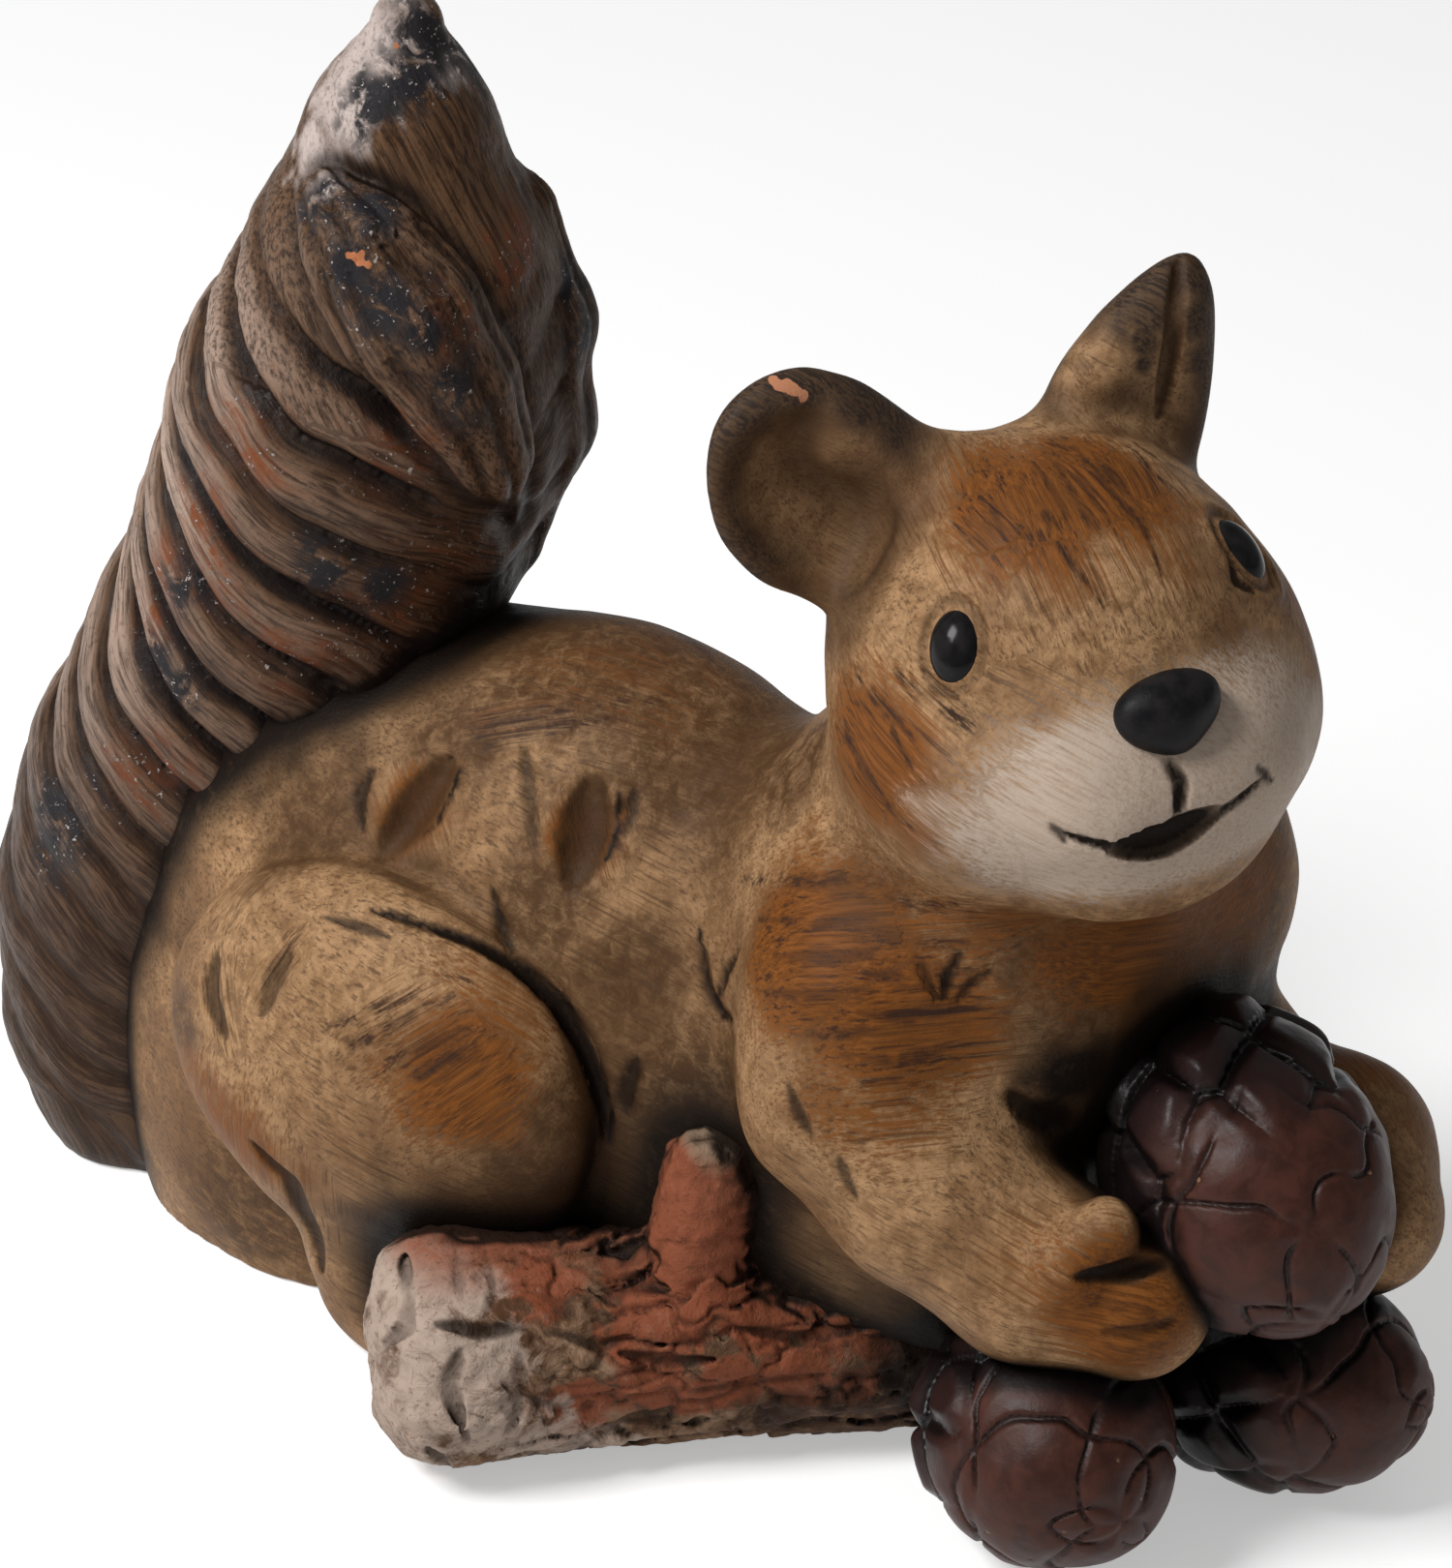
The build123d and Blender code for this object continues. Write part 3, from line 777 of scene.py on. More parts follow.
def tail_locks(points):
    """Shares of the near and the far lock, and how near the seam round a lock is."""
    core = tail_core(points)
    near, far = (core - tail_pieces[lock][0](points) for lock in ("tail_near_lock", "tail_far_lock"))
    near_seam, far_seam = (np.exp(-(((gap + lock_seam_place) / lock_seam_width) ** 2)) for gap in (near, far))
    return ease(near, *lock_edge), ease(far, *lock_edge), np.maximum(near_seam, far_seam_share * far_seam)


def tail_detail(points):
    crest, strength = tail_ridges(points)
    on_near, on_far, seam = tail_locks(points)
    combed = ridge_depth * strength * (1 - crest) * (1 - np.maximum(on_near, on_far))
    combed += lock_line_depth * on_near * (1 - lock_lines(points, near_lock_spine))
    combed += lock_line_depth * on_far * (1 - lock_lines(points, far_lock_spine))
    fine = tail_hair_depth * grain(points, *tail_hair_grain)
    return combed + lock_seam_depth * seam + fine + tail_lump_share * hand_lumps(points, tail_lump_seed)


bark_stretch = 0.62
bark_lump = 1.0
bark_lump_grain = (7.5, 44)
bark_flake = 0.45
bark_flake_grain = (3.0, 45)
bark_grit = 0.22
bark_grit_grain = (1.3, 46)
bark_crack = 0.9
bark_crack_edges = (0.16, 0.02)
bark_crack_grain = (4.2, 41)
bark_split = 0.45
bark_split_grain = (1.9, 42)
bark_crack_patches = (11.0, 43)
bark_crack_patch_edges = (-0.35, 0.35)
bark_plate_size = 5.6
bark_plate_step = 1.3
bark_plate_gap = 0.7
bark_plate_gap_edges = (0.22, 0.0)
bark_plate_warp = 0.32
bark_plate_grain = (3.0, 47)
bark_plate_seeds = (48, 49, 50)
bark_height_seed = 57
bark_smooth_share = 0.75
smooth_end = (34.0, 8.0)
smooth_end_wander = 4
smooth_end_grain = (9.0, 58)
log_top = 2 * log_radius


def bark_grain(points):
    """Points with the run of the bark stretched, so that its plates lie along the log."""
    along = points @ log_heading
    return points - bark_stretch * along[:, None] * log_heading


def bark_cracks(points):
    """How deep a point lies in the fine bark cracks, 0 to 1."""
    run = bark_grain(points)
    seam = np.abs(grain(run, *bark_crack_grain) + bark_split * grain(run, *bark_split_grain))
    return ease(seam, *bark_crack_edges) * ease(grain(points, *bark_crack_patches), *bark_crack_patch_edges)


def bark_plates(points):
    """Distance from the nearest edge of the broken bark plates, and a random height for each plate."""
    run = bark_grain(points) / bark_plate_size + bark_plate_warp * grain(points, *bark_plate_grain)[:, None]
    cell = np.floor(run).astype(np.int64)
    first = np.full(len(points), 9.0, np.float32)
    second = first.copy()
    height = np.zeros(len(points), np.float32)
    for i, j, k in np.ndindex(3, 3, 3):
        beside = (cell + (i - 1, j - 1, k - 1)).T
        middle = np.stack([scatter(beside, seed) for seed in bark_plate_seeds], 1)
        gap = length_of(run - beside.T - middle)
        closer = gap < first
        second = np.where(closer, first, np.minimum(second, gap))
        first = np.where(closer, gap, first)
        height = np.where(closer, scatter(beside, bark_height_seed), height)
    return second - first, height


def bark_smooth(points):
    """Share of the smooth surfaces: the pale end of the log and the stub."""
    along, _ = log_place(points)
    on_stub = ease(points[:, 2], log_top - 1, log_top + 3)
    along = along + smooth_end_wander * grain(points, *smooth_end_grain)
    return np.maximum(ease(along, *smooth_end), on_stub)


def bark_detail(points):
    depth, _ = cut_depths(points, bark_lines)
    run = bark_grain(points)
    lumps = bark_lump * grain(run, *bark_lump_grain) + bark_flake * grain(run, *bark_flake_grain)
    lumps = lumps + bark_grit * grain(points, *bark_grit_grain)
    edge, height = bark_plates(points)
    plates = bark_plate_gap * ease(edge, *bark_plate_gap_edges) - bark_plate_step * (height - 0.5)
    rough = 1 - bark_smooth_share * bark_smooth(points)
    return depth + lumps + (plates + bark_crack * bark_cracks(points)) * rough


cone_scale_count = 36
cone_scale_height = 1.5
cone_scale_pillow = 2.4
cone_scale_lean = 0.6
cone_scale_reach = 4.0
cone_scale_power = 1.5
cone_scale_stretch = (0.72, 1.0, 1.0)
cone_cap_edges = (-0.27, 0.28)
cone_cap_wander = 0.15
cone_cap_grain = (8.0, 55)
cone_plate_turns = 7
cone_plate_rows = 1.9
cone_plate_wander = 0.22
cone_plate_grain = (6.0, 53)
cone_plate_swell = 0.35
cone_line_width = 0.042
cone_line_depth = 0.6
cone_line_gaps = (6.5, 54)
cone_line_gap_edges = (-0.7, -0.2)
cone_tip_edges = (0.99, 0.95)
cone_line_core = 0.3
cone_swell_edges = (0.0, 0.3)
cone_groove_edges = (0.8, 0.1)
cone_lump = 0.5
cone_lump_grain = (8.0, 51)
cone_grit = 0.05
cone_grit_grain = (1.6, 52)
golden_turn = math.pi * (3 - math.sqrt(5))


def cone_place(points, name):
    """Points on a cone's egg in its own axes, and their place along it (1 at its tip)."""
    half = np.array(cone_shapes[name][1])
    local = (points - cone_centre[name]) @ cone_axes[name]
    on_egg = local / np.maximum(length_of(local / half), tiny)[:, None]
    return on_egg, np.clip(on_egg[:, 0] / half[0], -1, 1)


def cone_scales(points, name):
    """Distance to the edge of the small overlapping scales round a cone's base, and place along the scale."""
    on_egg, _ = cone_place(points, name)
    rows = (np.arange(cone_scale_count) + 0.5) / cone_scale_count
    along = 1 - 2 * rows
    turn = np.arange(cone_scale_count) * golden_turn
    out = np.sqrt(1 - along ** 2)
    middles = np.stack([along, out * np.cos(turn), out * np.sin(turn)], 1) * cone_shapes[name][1]
    nearest = np.full(len(points), far_off)
    second = nearest.copy()
    lean = np.zeros(len(points))
    for middle in middles[cone_scale_count // 4:]:
        away = on_egg - middle
        gap = length_of(away * cone_scale_stretch)
        closer = gap < nearest
        second = np.where(closer, nearest, np.minimum(second, gap))
        nearest = np.where(closer, gap, nearest)
        lean = np.where(closer, away[:, 0], lean)
    return (second - nearest) / 2, lean


def cone_lines(points, name):
    """Strength of the lines incised in two crossing spirals on a cone's cap, and the swell between them."""
    on_egg, place = cone_place(points, name)
    turn = np.arctan2(on_egg[:, 2], on_egg[:, 1]) / (2 * math.pi) * cone_plate_turns
    fall = np.arccos(place) / (math.pi / 2) * cone_plate_rows
    fall = fall + cone_plate_wander * grain(points, *cone_plate_grain)
    spirals = (turn / 2 + fall, turn / 2 - fall)
    off_line = np.minimum.reduce([np.abs(spiral - np.round(spiral)) for spiral in spirals])
    broken = ease(grain(points, *cone_line_gaps), *cone_line_gap_edges) * ease(place, *cone_tip_edges)
    line = ease(off_line, cone_line_width, cone_line_core * cone_line_width) * broken
    return line, ease(off_line, *cone_swell_edges)


def cone_cap(points, name):
    """Share of a cone's smooth cap; the rest is its scaly base."""
    _, place = cone_place(points, name)
    return ease(place + cone_cap_wander * grain(points, *cone_cap_grain), *cone_cap_edges)


def cone_detail(name):
    def detail(points):
        cap = cone_cap(points, name)
        edge, lean = cone_scales(points, name)
        pillow = 1 - ease(edge, 0, cone_scale_pillow)
        tilt = cone_scale_lean * np.clip(lean / cone_scale_reach, -1, 1)
        scales = cone_scale_height * pillow ** cone_scale_power - tilt
        line, swell = cone_lines(points, name)
        plates = cone_line_depth * line - cone_plate_swell * swell
        carved = scales * (1 - cap) + plates * cap + cone_lump * grain(points, *cone_lump_grain)
        return carved + cone_grit * grain(points, *cone_grit_grain)
    return detail


# Meshing

block = 8
blocks_at_once = 400
detail_reach = 4.0
undercut_slope = 0.7
undercut_reach = 4.0
joint_overlap = 0.8


def piece_field(pieces, name):
    """Field of one piece: the shared clay surface, dipping under its neighbours past the joint."""
    def field(points):
        gaps = {node: form(points) for node, (form, _) in pieces.items()}
        total = None
        for node, (_, soft) in pieces.items():
            total = gaps[node] if total is None else union(total, gaps[node], soft)
        others = [gaps[node] for node in pieces if node != name]
        if others:
            past = 0.5 * (gaps[name] - np.minimum.reduce(others))
            dip = undercut_slope * np.maximum(past - joint_overlap, 0)
            total = np.maximum(total + dip, past - undercut_reach)
        return total
    return field


def detailed(field, detail):
    """Field with its detail cut near the surface, and flat on the ground."""
    def whole(points):
        value = field(points)
        near = np.flatnonzero(np.abs(value) < detail_reach)
        if detail is not None and len(near):
            value[near] += detail(points[near])
        return np.maximum(value, -points[:, 2])
    return whole


def sculpt(field, detail, low, high, step):
    """Corners and four-sided faces of a field's surface inside a box."""
    blocks = np.ceil((high - low) / (step * block)).astype(int)
    corner = np.stack(np.meshgrid(*[np.arange(count) for count in blocks], indexing="ij"), -1).reshape(-1, 3)
    middles = (low + (corner + 0.5) * block * step).astype(np.float32)
    rough = np.maximum(field(middles), -middles[:, 2])
    values = rough.reshape(blocks)
    for axis in range(3):
        values = np.repeat(values, block, axis)
    values = np.ascontiguousarray(values, np.float32)
    parts = values.reshape(blocks[0], block, blocks[1], block, blocks[2], block).transpose(0, 2, 4, 1, 3, 5)
    inner = np.stack(np.meshgrid(*[np.arange(block)] * 3, indexing="ij"), -1).reshape(-1, 3)
    whole = detailed(field, detail)
    active = np.flatnonzero(np.abs(rough) < block * step + detail_reach)
    for start in range(0, len(active), blocks_at_once):
        some = corner[active[start:start + blocks_at_once]]
        points = low + (some[:, None, :] * block + inner[None, :, :]) * step
        found = whole(points.reshape(-1, 3).astype(np.float32))
        parts[some[:, 0], some[:, 1], some[:, 2]] = found.reshape(-1, block, block, block)
    grid = openvdb.FloatGrid(background=float(detail_reach))
    grid.copyFromArray(np.clip(values, -detail_reach, detail_reach))
    corners, faces = grid.convertToQuads(isovalue=0.0)
    return corners * step + low, faces


def outward(corners, faces):
    """Faces turned so that they point out of the clay."""
    a, b, c = (corners[faces[:, i]] for i in (0, 1, 2))
    if np.einsum("ij,ij->", np.cross(a, b), c) < 0:
        return faces[:, ::-1]
    return faces


def make_piece(name, corners, faces, material, masks):
    """Object of one piece, with its paint masks stored on its corners."""
    faces = outward(corners, faces)
    mesh = bpy.data.meshes.new(name + "_clay")
    mesh.vertices.add(len(corners))
    mesh.vertices.foreach_set("co", (corners / metre).astype(np.float32).ravel())
    mesh.loops.add(faces.size)
    mesh.loops.foreach_set("vertex_index", np.ascontiguousarray(faces, np.int32).ravel())
    mesh.polygons.add(len(faces))
    mesh.polygons.foreach_set("loop_start", np.arange(0, faces.size, 4, dtype=np.int32))
    mesh.polygons.foreach_set("use_smooth", np.ones(len(faces), bool))
    mesh.update(calc_edges=True)
    mesh.validate()
    normals = np.empty(len(mesh.vertices) * 3, np.float32)
    mesh.vertices.foreach_get("normal", normals)
    for mask, values in masks(corners.astype(np.float32), normals.reshape(-1, 3)).items():
        wide = values.ndim == 2
        layer = mesh.attributes.new(mask, "FLOAT_VECTOR" if wide else "FLOAT", "POINT")
        layer.data.foreach_set("vector" if wide else "value", values.astype(np.float32).ravel())
    mesh.materials.append(material)
    piece = bpy.data.objects.new(name + "_modelled", mesh)
    bpy.context.collection.objects.link(piece)
    return piece


# Paint masks

crevice_shade_reaches = (2.0, 5.0, 11.0, 20.0)
crevice_shade_most = 1.5


def crevice(points, normals):
    """How closed in a surface is, from 0 in the open to 1 in a deep joint; it lays painted shade in joints
    and hollows.
    """
    total = 0
    for reach in crevice_shade_reaches:
        gap = whole_figure((points + normals * reach).astype(np.float32))
        total = total + np.clip(1 - gap / reach, 0, crevice_shade_most)
    return total / len(crevice_shade_reaches)


# Round patches of paint are given by a pixel of the photograph and a radius

def patch_spots(patches, field):
    """Patches as middles on the clay and radii."""
    made = []
    for x, y, radius in patches:
        middle = cast([(x, y)], field)
        if len(middle):
            made.append((middle[0], radius))
    return made


patch_raggedness = 0.4
patch_fade = (1.3, 0.4)


def patch_mask(points, spots, edge):
    """Strength of patches, their edges made uneven by a noise."""
    total = np.zeros(len(points), np.float32)
    warp = 1 + patch_raggedness * edge
    for middle, radius in spots:
        total = np.maximum(total, ease(length_of(points - middle) / radius * warp, *patch_fade))
    return total


def twin_mask(points, spots, edge):
    """Patches on the side that the photograph shows and, mirrored, on the other."""
    return np.maximum(patch_mask(points, spots, edge), patch_mask(points * mirror, spots, edge))


# Brushed patches: pixel of the middle, half length along the strokes, half width, the strokes' run in pixels,
# strength of the ochre and of the dark strokes
fur_patches = [
    ((1060, 515), 15.0, 11.0, (70, 140), 1.0, 0.9),
    ((1150, 490), 11.0, 9.0, (70, 140), 0.75, 1.0),
    ((1185, 560), 9.0, 7.0, (70, 140), 0.25, 0.6),
    ((905, 775), 13.0, 10.0, (110, 130), 1.0, 0.9),
    ((950, 740), 9.0, 6.0, (110, 100), 0.3, 0.9),
    ((950, 850), 9.0, 7.0, (120, 95), 0.7, 0.4),
    ((840, 975), 17.0, 13.0, (200, -8), 1.0, 1.0),
    ((930, 1060), 14.0, 11.0, (200, -20), 0.95, 1.0),
    ((900, 1140), 13.0, 8.0, (200, -20), 0.6, 0.6),
    ((1000, 950), 14.0, 8.0, (200, -10), 0.6, 0.7),
    ((1180, 985), 24.0, 9.0, (200, -30), 0.9, 0.35),
    ((475, 1112), 11.0, 9.0, (100, -70), 1.0, 0.7),
    ((440, 1070), 12.0, 7.0, (100, -60), 0.35, 0.9),
    ((520, 1030), 11.0, 6.0, (100, 60), 0.45, 0.2),
    ((1165, 1350), 13.0, 11.0, (100, 20), 1.0, 0.5),
    ((1090, 1310), 9.0, 7.0, (100, 60), 0.5, 0.4),
    ((235, 1160), 9.0, 15.0, (10, 100), 0.7, 0.4),
    ((540, 740), 12.0, 4.0, (100, -15), 0.3, 0.9),
    ((600, 860), 5.0, 6.0, (30, 100), 0.9, 0.7),
    ((425, 835), 5.0, 6.0, (30, 100), 0.9, 0.4),
    ((226, 1030), 7.0, 3.0, (10, 100), 0.1, 0.9),
    ((282, 1002), 6.0, 2.5, (-40, 60), 0.1, 0.9),
    ((250, 925), 6.0, 3.0, (60, -60), 0.1, 0.7),
    ((640, 700), 20.0, 10.0, (100, 30), 0.3, 0.3),
]
stroke_length = 20.0
stroke_width = 0.46
run_share = 0.15
head_margin = 3


def brushed_patches(patches):
    """Patches as a middle on the clay, the strokes' run and the sizes, for both sides of the figure."""
    made = []
    for pixel, half_length, half_width, run, ochre, dark in patches:
        beyond = (pixel[0] + run_share * run[0], pixel[1] + run_share * run[1])
        ends = cast([pixel, beyond], fur_clay)
        if len(ends) < 2:
            continue
        middle, heading = ends[0], unit(ends[1] - ends[0])
        made.append((middle, heading, half_length, half_width, ochre, dark))
        if head_form(middle[None, :].astype(np.float32))[0] < head_margin:
            local = head_local(middle[None, :])[0] * mirror
            heading = head_axes @ ((heading @ head_axes) * mirror)
            made.append((on_head(local), heading, half_length, half_width, ochre, dark))
        else:
            made.append((middle * mirror, heading * mirror, half_length, half_width, ochre, dark))
    return made


fur_brushwork = brushed_patches(fur_patches)
# Umber patches: dark umber paint on the back, and painted shade under the thighs and on the chest below the
# chin
umber_and_shade_spots = patch_spots(
    [
        (640, 690, 20.0), (740, 780, 18.0), (560, 700, 12.0), (820, 800, 10.0), (480, 760, 10.0),
        (330, 850, 10.0), (560, 930, 8.0), (660, 1010, 9.0), (560, 1190, 14.0), (700, 1110, 14.0),
        (1100, 990, 14.0), (1300, 960, 12.0), (1220, 960, 14.0), (250, 1250, 13.0), (190, 1060, 6.0),
        (620, 1130, 9.0), (760, 1120, 10.0), (1165, 1345, 9.0),
        (860, 980, 12.0),
    ],
    fur_clay,
)
# Painted shade where the chest meets the cones
joint_shade_spots = patch_spots(
    [
        (1110, 1112, 7.0), (1180, 1090, 7.0), (1250, 1068, 7.0), (1085, 1150, 5.0), (1300, 1040, 6.0),
    ],
    fur_clay,
)
ear_chip_spots = patch_spots([(800, 394, 0.8), (810, 398, 1.1), (820, 403, 1.2), (829, 409, 0.9)], fur_clay)
ear_worn_spots = patch_spots([(1128, 372, 5.0), (1120, 390, 5.0), (800, 500, 5.0)], fur_clay)
ear_black_spots = patch_spots(
    [
        (1205, 276, 3.5), (1190, 300, 4.0), (1186, 326, 3.5), (1180, 352, 2.8), (1180, 376, 1.8),
        (1240, 330, 4.0), (1246, 372, 4.0),
    ],
    fur_clay,
)
white_place = np.array([24.0, 0.0, -10.0])
white_half = np.array([24.0, 24.0, 14.0])
white_fade = (1.45, 0.60)
white_ahead = (-2.0, 16.0)
white_above = (-24.0, -15.0)
white_wander = 0.10
white_grain = (4.0, 62)
mouth_depths = (0.8, 1.2)
mouth_white = 0.3
white_cover = 0.7
ear_names = {-1: "ear_right", 1: "ear_left"}
ear_edge = (0.34, 0.82)
ear_edge_wander = 0.18
ear_edge_grain = (3.0, 63)
ear_hollow_wash = 0.12
ear_lowest = -0.4
ear_fade = (4.0, 0.5)
ear_foot_fade = (-10.0, -1.0)
ear_wear = 0.8
fur_heading = unit(np.array([1.0, 0.2, -0.35]))
patch_wander = 0.25
patch_wander_grain = (5.0, 61)
patch_least = 0.02
ochre_fade = (1.5, 0.3)
stroke_fade = (1.25, 0.6)
stroke_gap_edges = (-0.7, 0.1)
stroke_gap_grain = (1.6, 68)
fur_edge_grain = (4.0, 64)
umber_and_shade_grain = (9.0, 65)
joint_shade_wander = 0.35
joint_shade_grain = (5.0, 66)
chip_raggedness = 1.5
ear_chip_grain = (1.0, 67)
# How far the painted shade reaches out from the tail, the log and the cones
tail_shade_fade = (11.0, 1.0)
log_shade_fade = (12.0, 1.0)
cone_shade_fade = (2.5, 0.5)


def stroke_run(points, heading):
    """Points stretched along a run of strokes, so that noise on them looks brushed."""
    along = points @ heading
    return (points + (stroke_width / stroke_length - 1) * along[:, None] * heading) / stroke_width


def joint_shade(points):
    """Painted shade on the fur along its joints with the tail, the log and the cones."""
    uneven = 1 + joint_shade_wander * grain(points, *joint_shade_grain)
    neighbours = [(tail_clay, tail_shade_fade), (bark_clay, log_shade_fade)]
    neighbours += [(form, cone_shade_fade) for form in cone_forms.values()]
    return np.maximum.reduce([ease(form(points) * uneven, *fade) for form, fade in neighbours])


def ear_shade(points):
    """Dark wash of the ears: full on their rims and backs, thin in their hollows."""
    wash = np.zeros(len(points), np.float32)
    for side in (-1, 1):
        local = (points - ear_centre[side]) @ ear_axes[side]
        across = local[:, 1] / ear_halves[side][1]
        above = np.maximum(local[:, 2] / ear_halves[side][2], ear_lowest)
        near = ease(fur_pieces[ear_names[side]][0](points), *ear_fade) * ease(local[:, 2], *ear_foot_fade)
        uneven = 1 + ear_edge_wander * grain(points, *ear_edge_grain)
        rim = ease(np.sqrt(across ** 2 + above ** 2) * uneven, *ear_edge)
        wash = np.maximum(wash, near * (ear_hollow_wash + (1 - ear_hollow_wash) * rim))
    return wash


def white_share(points):
    """Share of the off-white paint round the mouth and on the chin."""
    place = head_local(points)
    reach = length_of((place - white_place) / white_half) * (1 + white_wander * grain(points, *white_grain))
    return ease(reach, *white_fade) * ease(place[:, 0], *white_ahead) * ease(place[:, 2], *white_above)


def brushwork(points):
    """Strength of the ochre and of the dark strokes, and the points stretched along the strokes' run."""
    ochre = np.zeros(len(points), np.float32)
    dark = np.zeros(len(points), np.float32)
    strongest = np.full(len(points), patch_least, np.float32)
    brush = stroke_run(points, fur_heading)
    warp = 1 + patch_wander * grain(points, *patch_wander_grain)
    for middle, heading, half_length, half_width, ochre_share, dark_share in fur_brushwork:
        away = points - middle
        along = away @ heading
        across = np.sqrt(np.maximum(np.einsum("ij,ij->i", away, away) - along ** 2, 0))
        reach = np.sqrt((along / half_length) ** 2 + (across / half_width) ** 2) * warp
        weight = ease(reach, *ochre_fade)
        ochre = np.maximum(ochre, ochre_share * weight)
        dark = np.maximum(dark, dark_share * ease(reach, *stroke_fade))
        stronger = weight > strongest
        strongest[stronger] = weight[stronger]
        brush[stronger] = stroke_run(points[stronger], heading)
    return ochre, dark, brush


def fur_masks(points, normals):
    ochre, dark, brush = brushwork(points)
    white = white_share(points)
    _, cut_wash = cut_depths(points, fur_lines)
    _, stroke_wash = cut_depths(points, stroke_lines)
    _, rim_wash = eye_rims(points)
    mouth_wash = ease(-head_form(points), *mouth_depths) * (white > mouth_white)
    edge = grain(points, *fur_edge_grain)
    ear_wash = ear_shade(points) * (1 - ear_wear * patch_mask(points, ear_worn_spots, edge))
    return {
        "umber": twin_mask(points, umber_and_shade_spots, grain(points, *umber_and_shade_grain)) * (1 - white),
        "soot": np.maximum(patch_mask(points, joint_shade_spots, edge), joint_shade(points)),
        "chip": patch_mask(points, ear_chip_spots, chip_raggedness * grain(points, *ear_chip_grain)),
        "ochre": ochre * (1 - white),
        "strokes": dark * (1 - white_cover * white),
        "stroke_lines": stroke_wash * ease(grain(points, *stroke_gap_grain), *stroke_gap_edges),
        "white": white,
        "ear_wash": np.maximum(ear_wash, patch_mask(points, ear_black_spots, edge)),
        "cut_wash": np.maximum.reduce([cut_wash, rim_wash, mouth_wash]),
        "crevice": crevice(points, normals),
        "brush": brush,
    }


tail_black_spots = patch_spots(
    [
        (432, 40, 5.0), (425, 78, 6.0), (385, 105, 5.0), (335, 208, 5.0), (385, 215, 5.0), (362, 275, 4.0),
        (395, 318, 6.0), (435, 345, 4.0), (470, 400, 4.0), (598, 290, 5.0), (592, 240, 5.0), (604, 350, 4.0),
        (60, 845, 7.0), (45, 880, 5.0), (190, 605, 4.0), (335, 590, 5.0), (160, 680, 5.0), (190, 710, 4.0),
        (395, 610, 4.0),
    ],
    tail_clay,
)
tail_pale_spots = patch_spots(
    [
        (380, 50, 7.0), (350, 100, 7.0), (318, 150, 4.5), (470, 60, 3.0), (335, 190, 3.0),
    ],
    tail_clay,
)
tail_rust_spots = patch_spots(
    [
        (250, 450, 7.0), (205, 520, 7.0), (215, 590, 7.0), (175, 590, 5.0), (380, 650, 10.0), (420, 460, 7.0),
        (300, 690, 7.0), (470, 340, 5.0), (160, 800, 8.0), (540, 260, 5.0), (150, 640, 6.0), (440, 600, 7.0),
    ],
    tail_clay,
)
tail_chip_spots = patch_spots([(362, 264, 0.8), (370, 270, 1.1), (380, 273, 0.8), (410, 47, 0.6)], tail_clay)
tail_run = unit(np.array([0.45, 0.15, -0.88]))
tail_stroke_length = 5.0
tail_comb_end = (tail_top - 50, tail_top - 40)
tail_front_end = (tail_top - 20, tail_top - 50)
tail_front = (1.7, 2.7)
tail_back = (2.0, 0.7)
tail_low = (80.0, 25.0)
crest_heights = (0.62, 1.0)
groove_heights = (0.90, 0.40)
lock_crest = 0.35
lock_groove = 0.55
seam_groove = 0.75
streak_grain = (2.6, 71)
streak_speckle = 0.4
streak_speckle_grain = (2.5, 72)
tail_chip_grain = (1.0, 73)


def tail_masks(points, normals):
    crest, strength = tail_ridges(points)
    up, round_turn, across, along = ridge_place(points)
    on_near, on_far, seam = tail_locks(points)
    near_lines, far_lines = (lock_lines(points, spine) for spine in (near_lock_spine, far_lock_spine))
    on_lock = np.maximum(on_near, on_far)
    height = crest * (1 - on_lock) + np.where(on_near > on_far, near_lines, far_lines) * on_lock
    combed = np.stack([across / stroke_width, along / tail_stroke_length, np.sign(points[:, 1])], 1)
    off_ridges = np.maximum(on_lock, ease(up, *tail_comb_end))
    brush = np.where(off_ridges[:, None] > 0.5, stroke_run(points, tail_run), combed)
    streak = grain(brush, *streak_grain) + streak_speckle * grain(points, *streak_speckle_grain)
    groove = ease(height, *groove_heights) * np.maximum(strength, lock_groove * on_lock)
    return {
        "crest": ease(height, *crest_heights) * np.maximum(strength, lock_crest * on_lock),
        # The tail's back is the side that the light falls on; the pale crests are strongest there as painted
        # light.
        "back": ease(round_turn, *tail_back) * (1 - on_near),
        "groove": np.maximum(groove, seam_groove * seam),
        # The tail's front, turned to the body and away from the light, is darkened as partly painted shade.
        "front": ease(round_turn, *tail_front) * (1 - on_near) * ease(up, *tail_front_end),
        "black": twin_mask(points, tail_black_spots, streak),
        "pale": twin_mask(points, tail_pale_spots, streak),
        "rust": twin_mask(points, tail_rust_spots, streak),
        "chip": patch_mask(points, tail_chip_spots, chip_raggedness * grain(points, *tail_chip_grain)),
        "low": ease(up, *tail_low),
        "crevice": crevice(points, normals),
        "brush": brush,
    }


bark_pale_spots = patch_spots(
    [
        (415, 1340, 12.0), (440, 1430, 12.0), (500, 1470, 8.0), (450, 1300, 7.0), (480, 1330, 6.0),
        (560, 1495, 7.0), (500, 1410, 6.0), (640, 1495, 5.0),
    ],
    bark_clay,
)
bark_red_spots = patch_spots(
    [
        (560, 1325, 6.0), (655, 1320, 5.0), (700, 1340, 9.0), (690, 1235, 8.0), (735, 1290, 8.0),
        (660, 1375, 6.0), (600, 1455, 6.0), (680, 1440, 7.0), (750, 1430, 6.0), (525, 1415, 2.5),
        (580, 1480, 4.0), (790, 1360, 7.0), (850, 1370, 6.0), (700, 1195, 6.0), (820, 1420, 6.0),
        (900, 1380, 5.0), (760, 1330, 6.0), (890, 1430, 4.0),
    ],
    bark_clay,
)
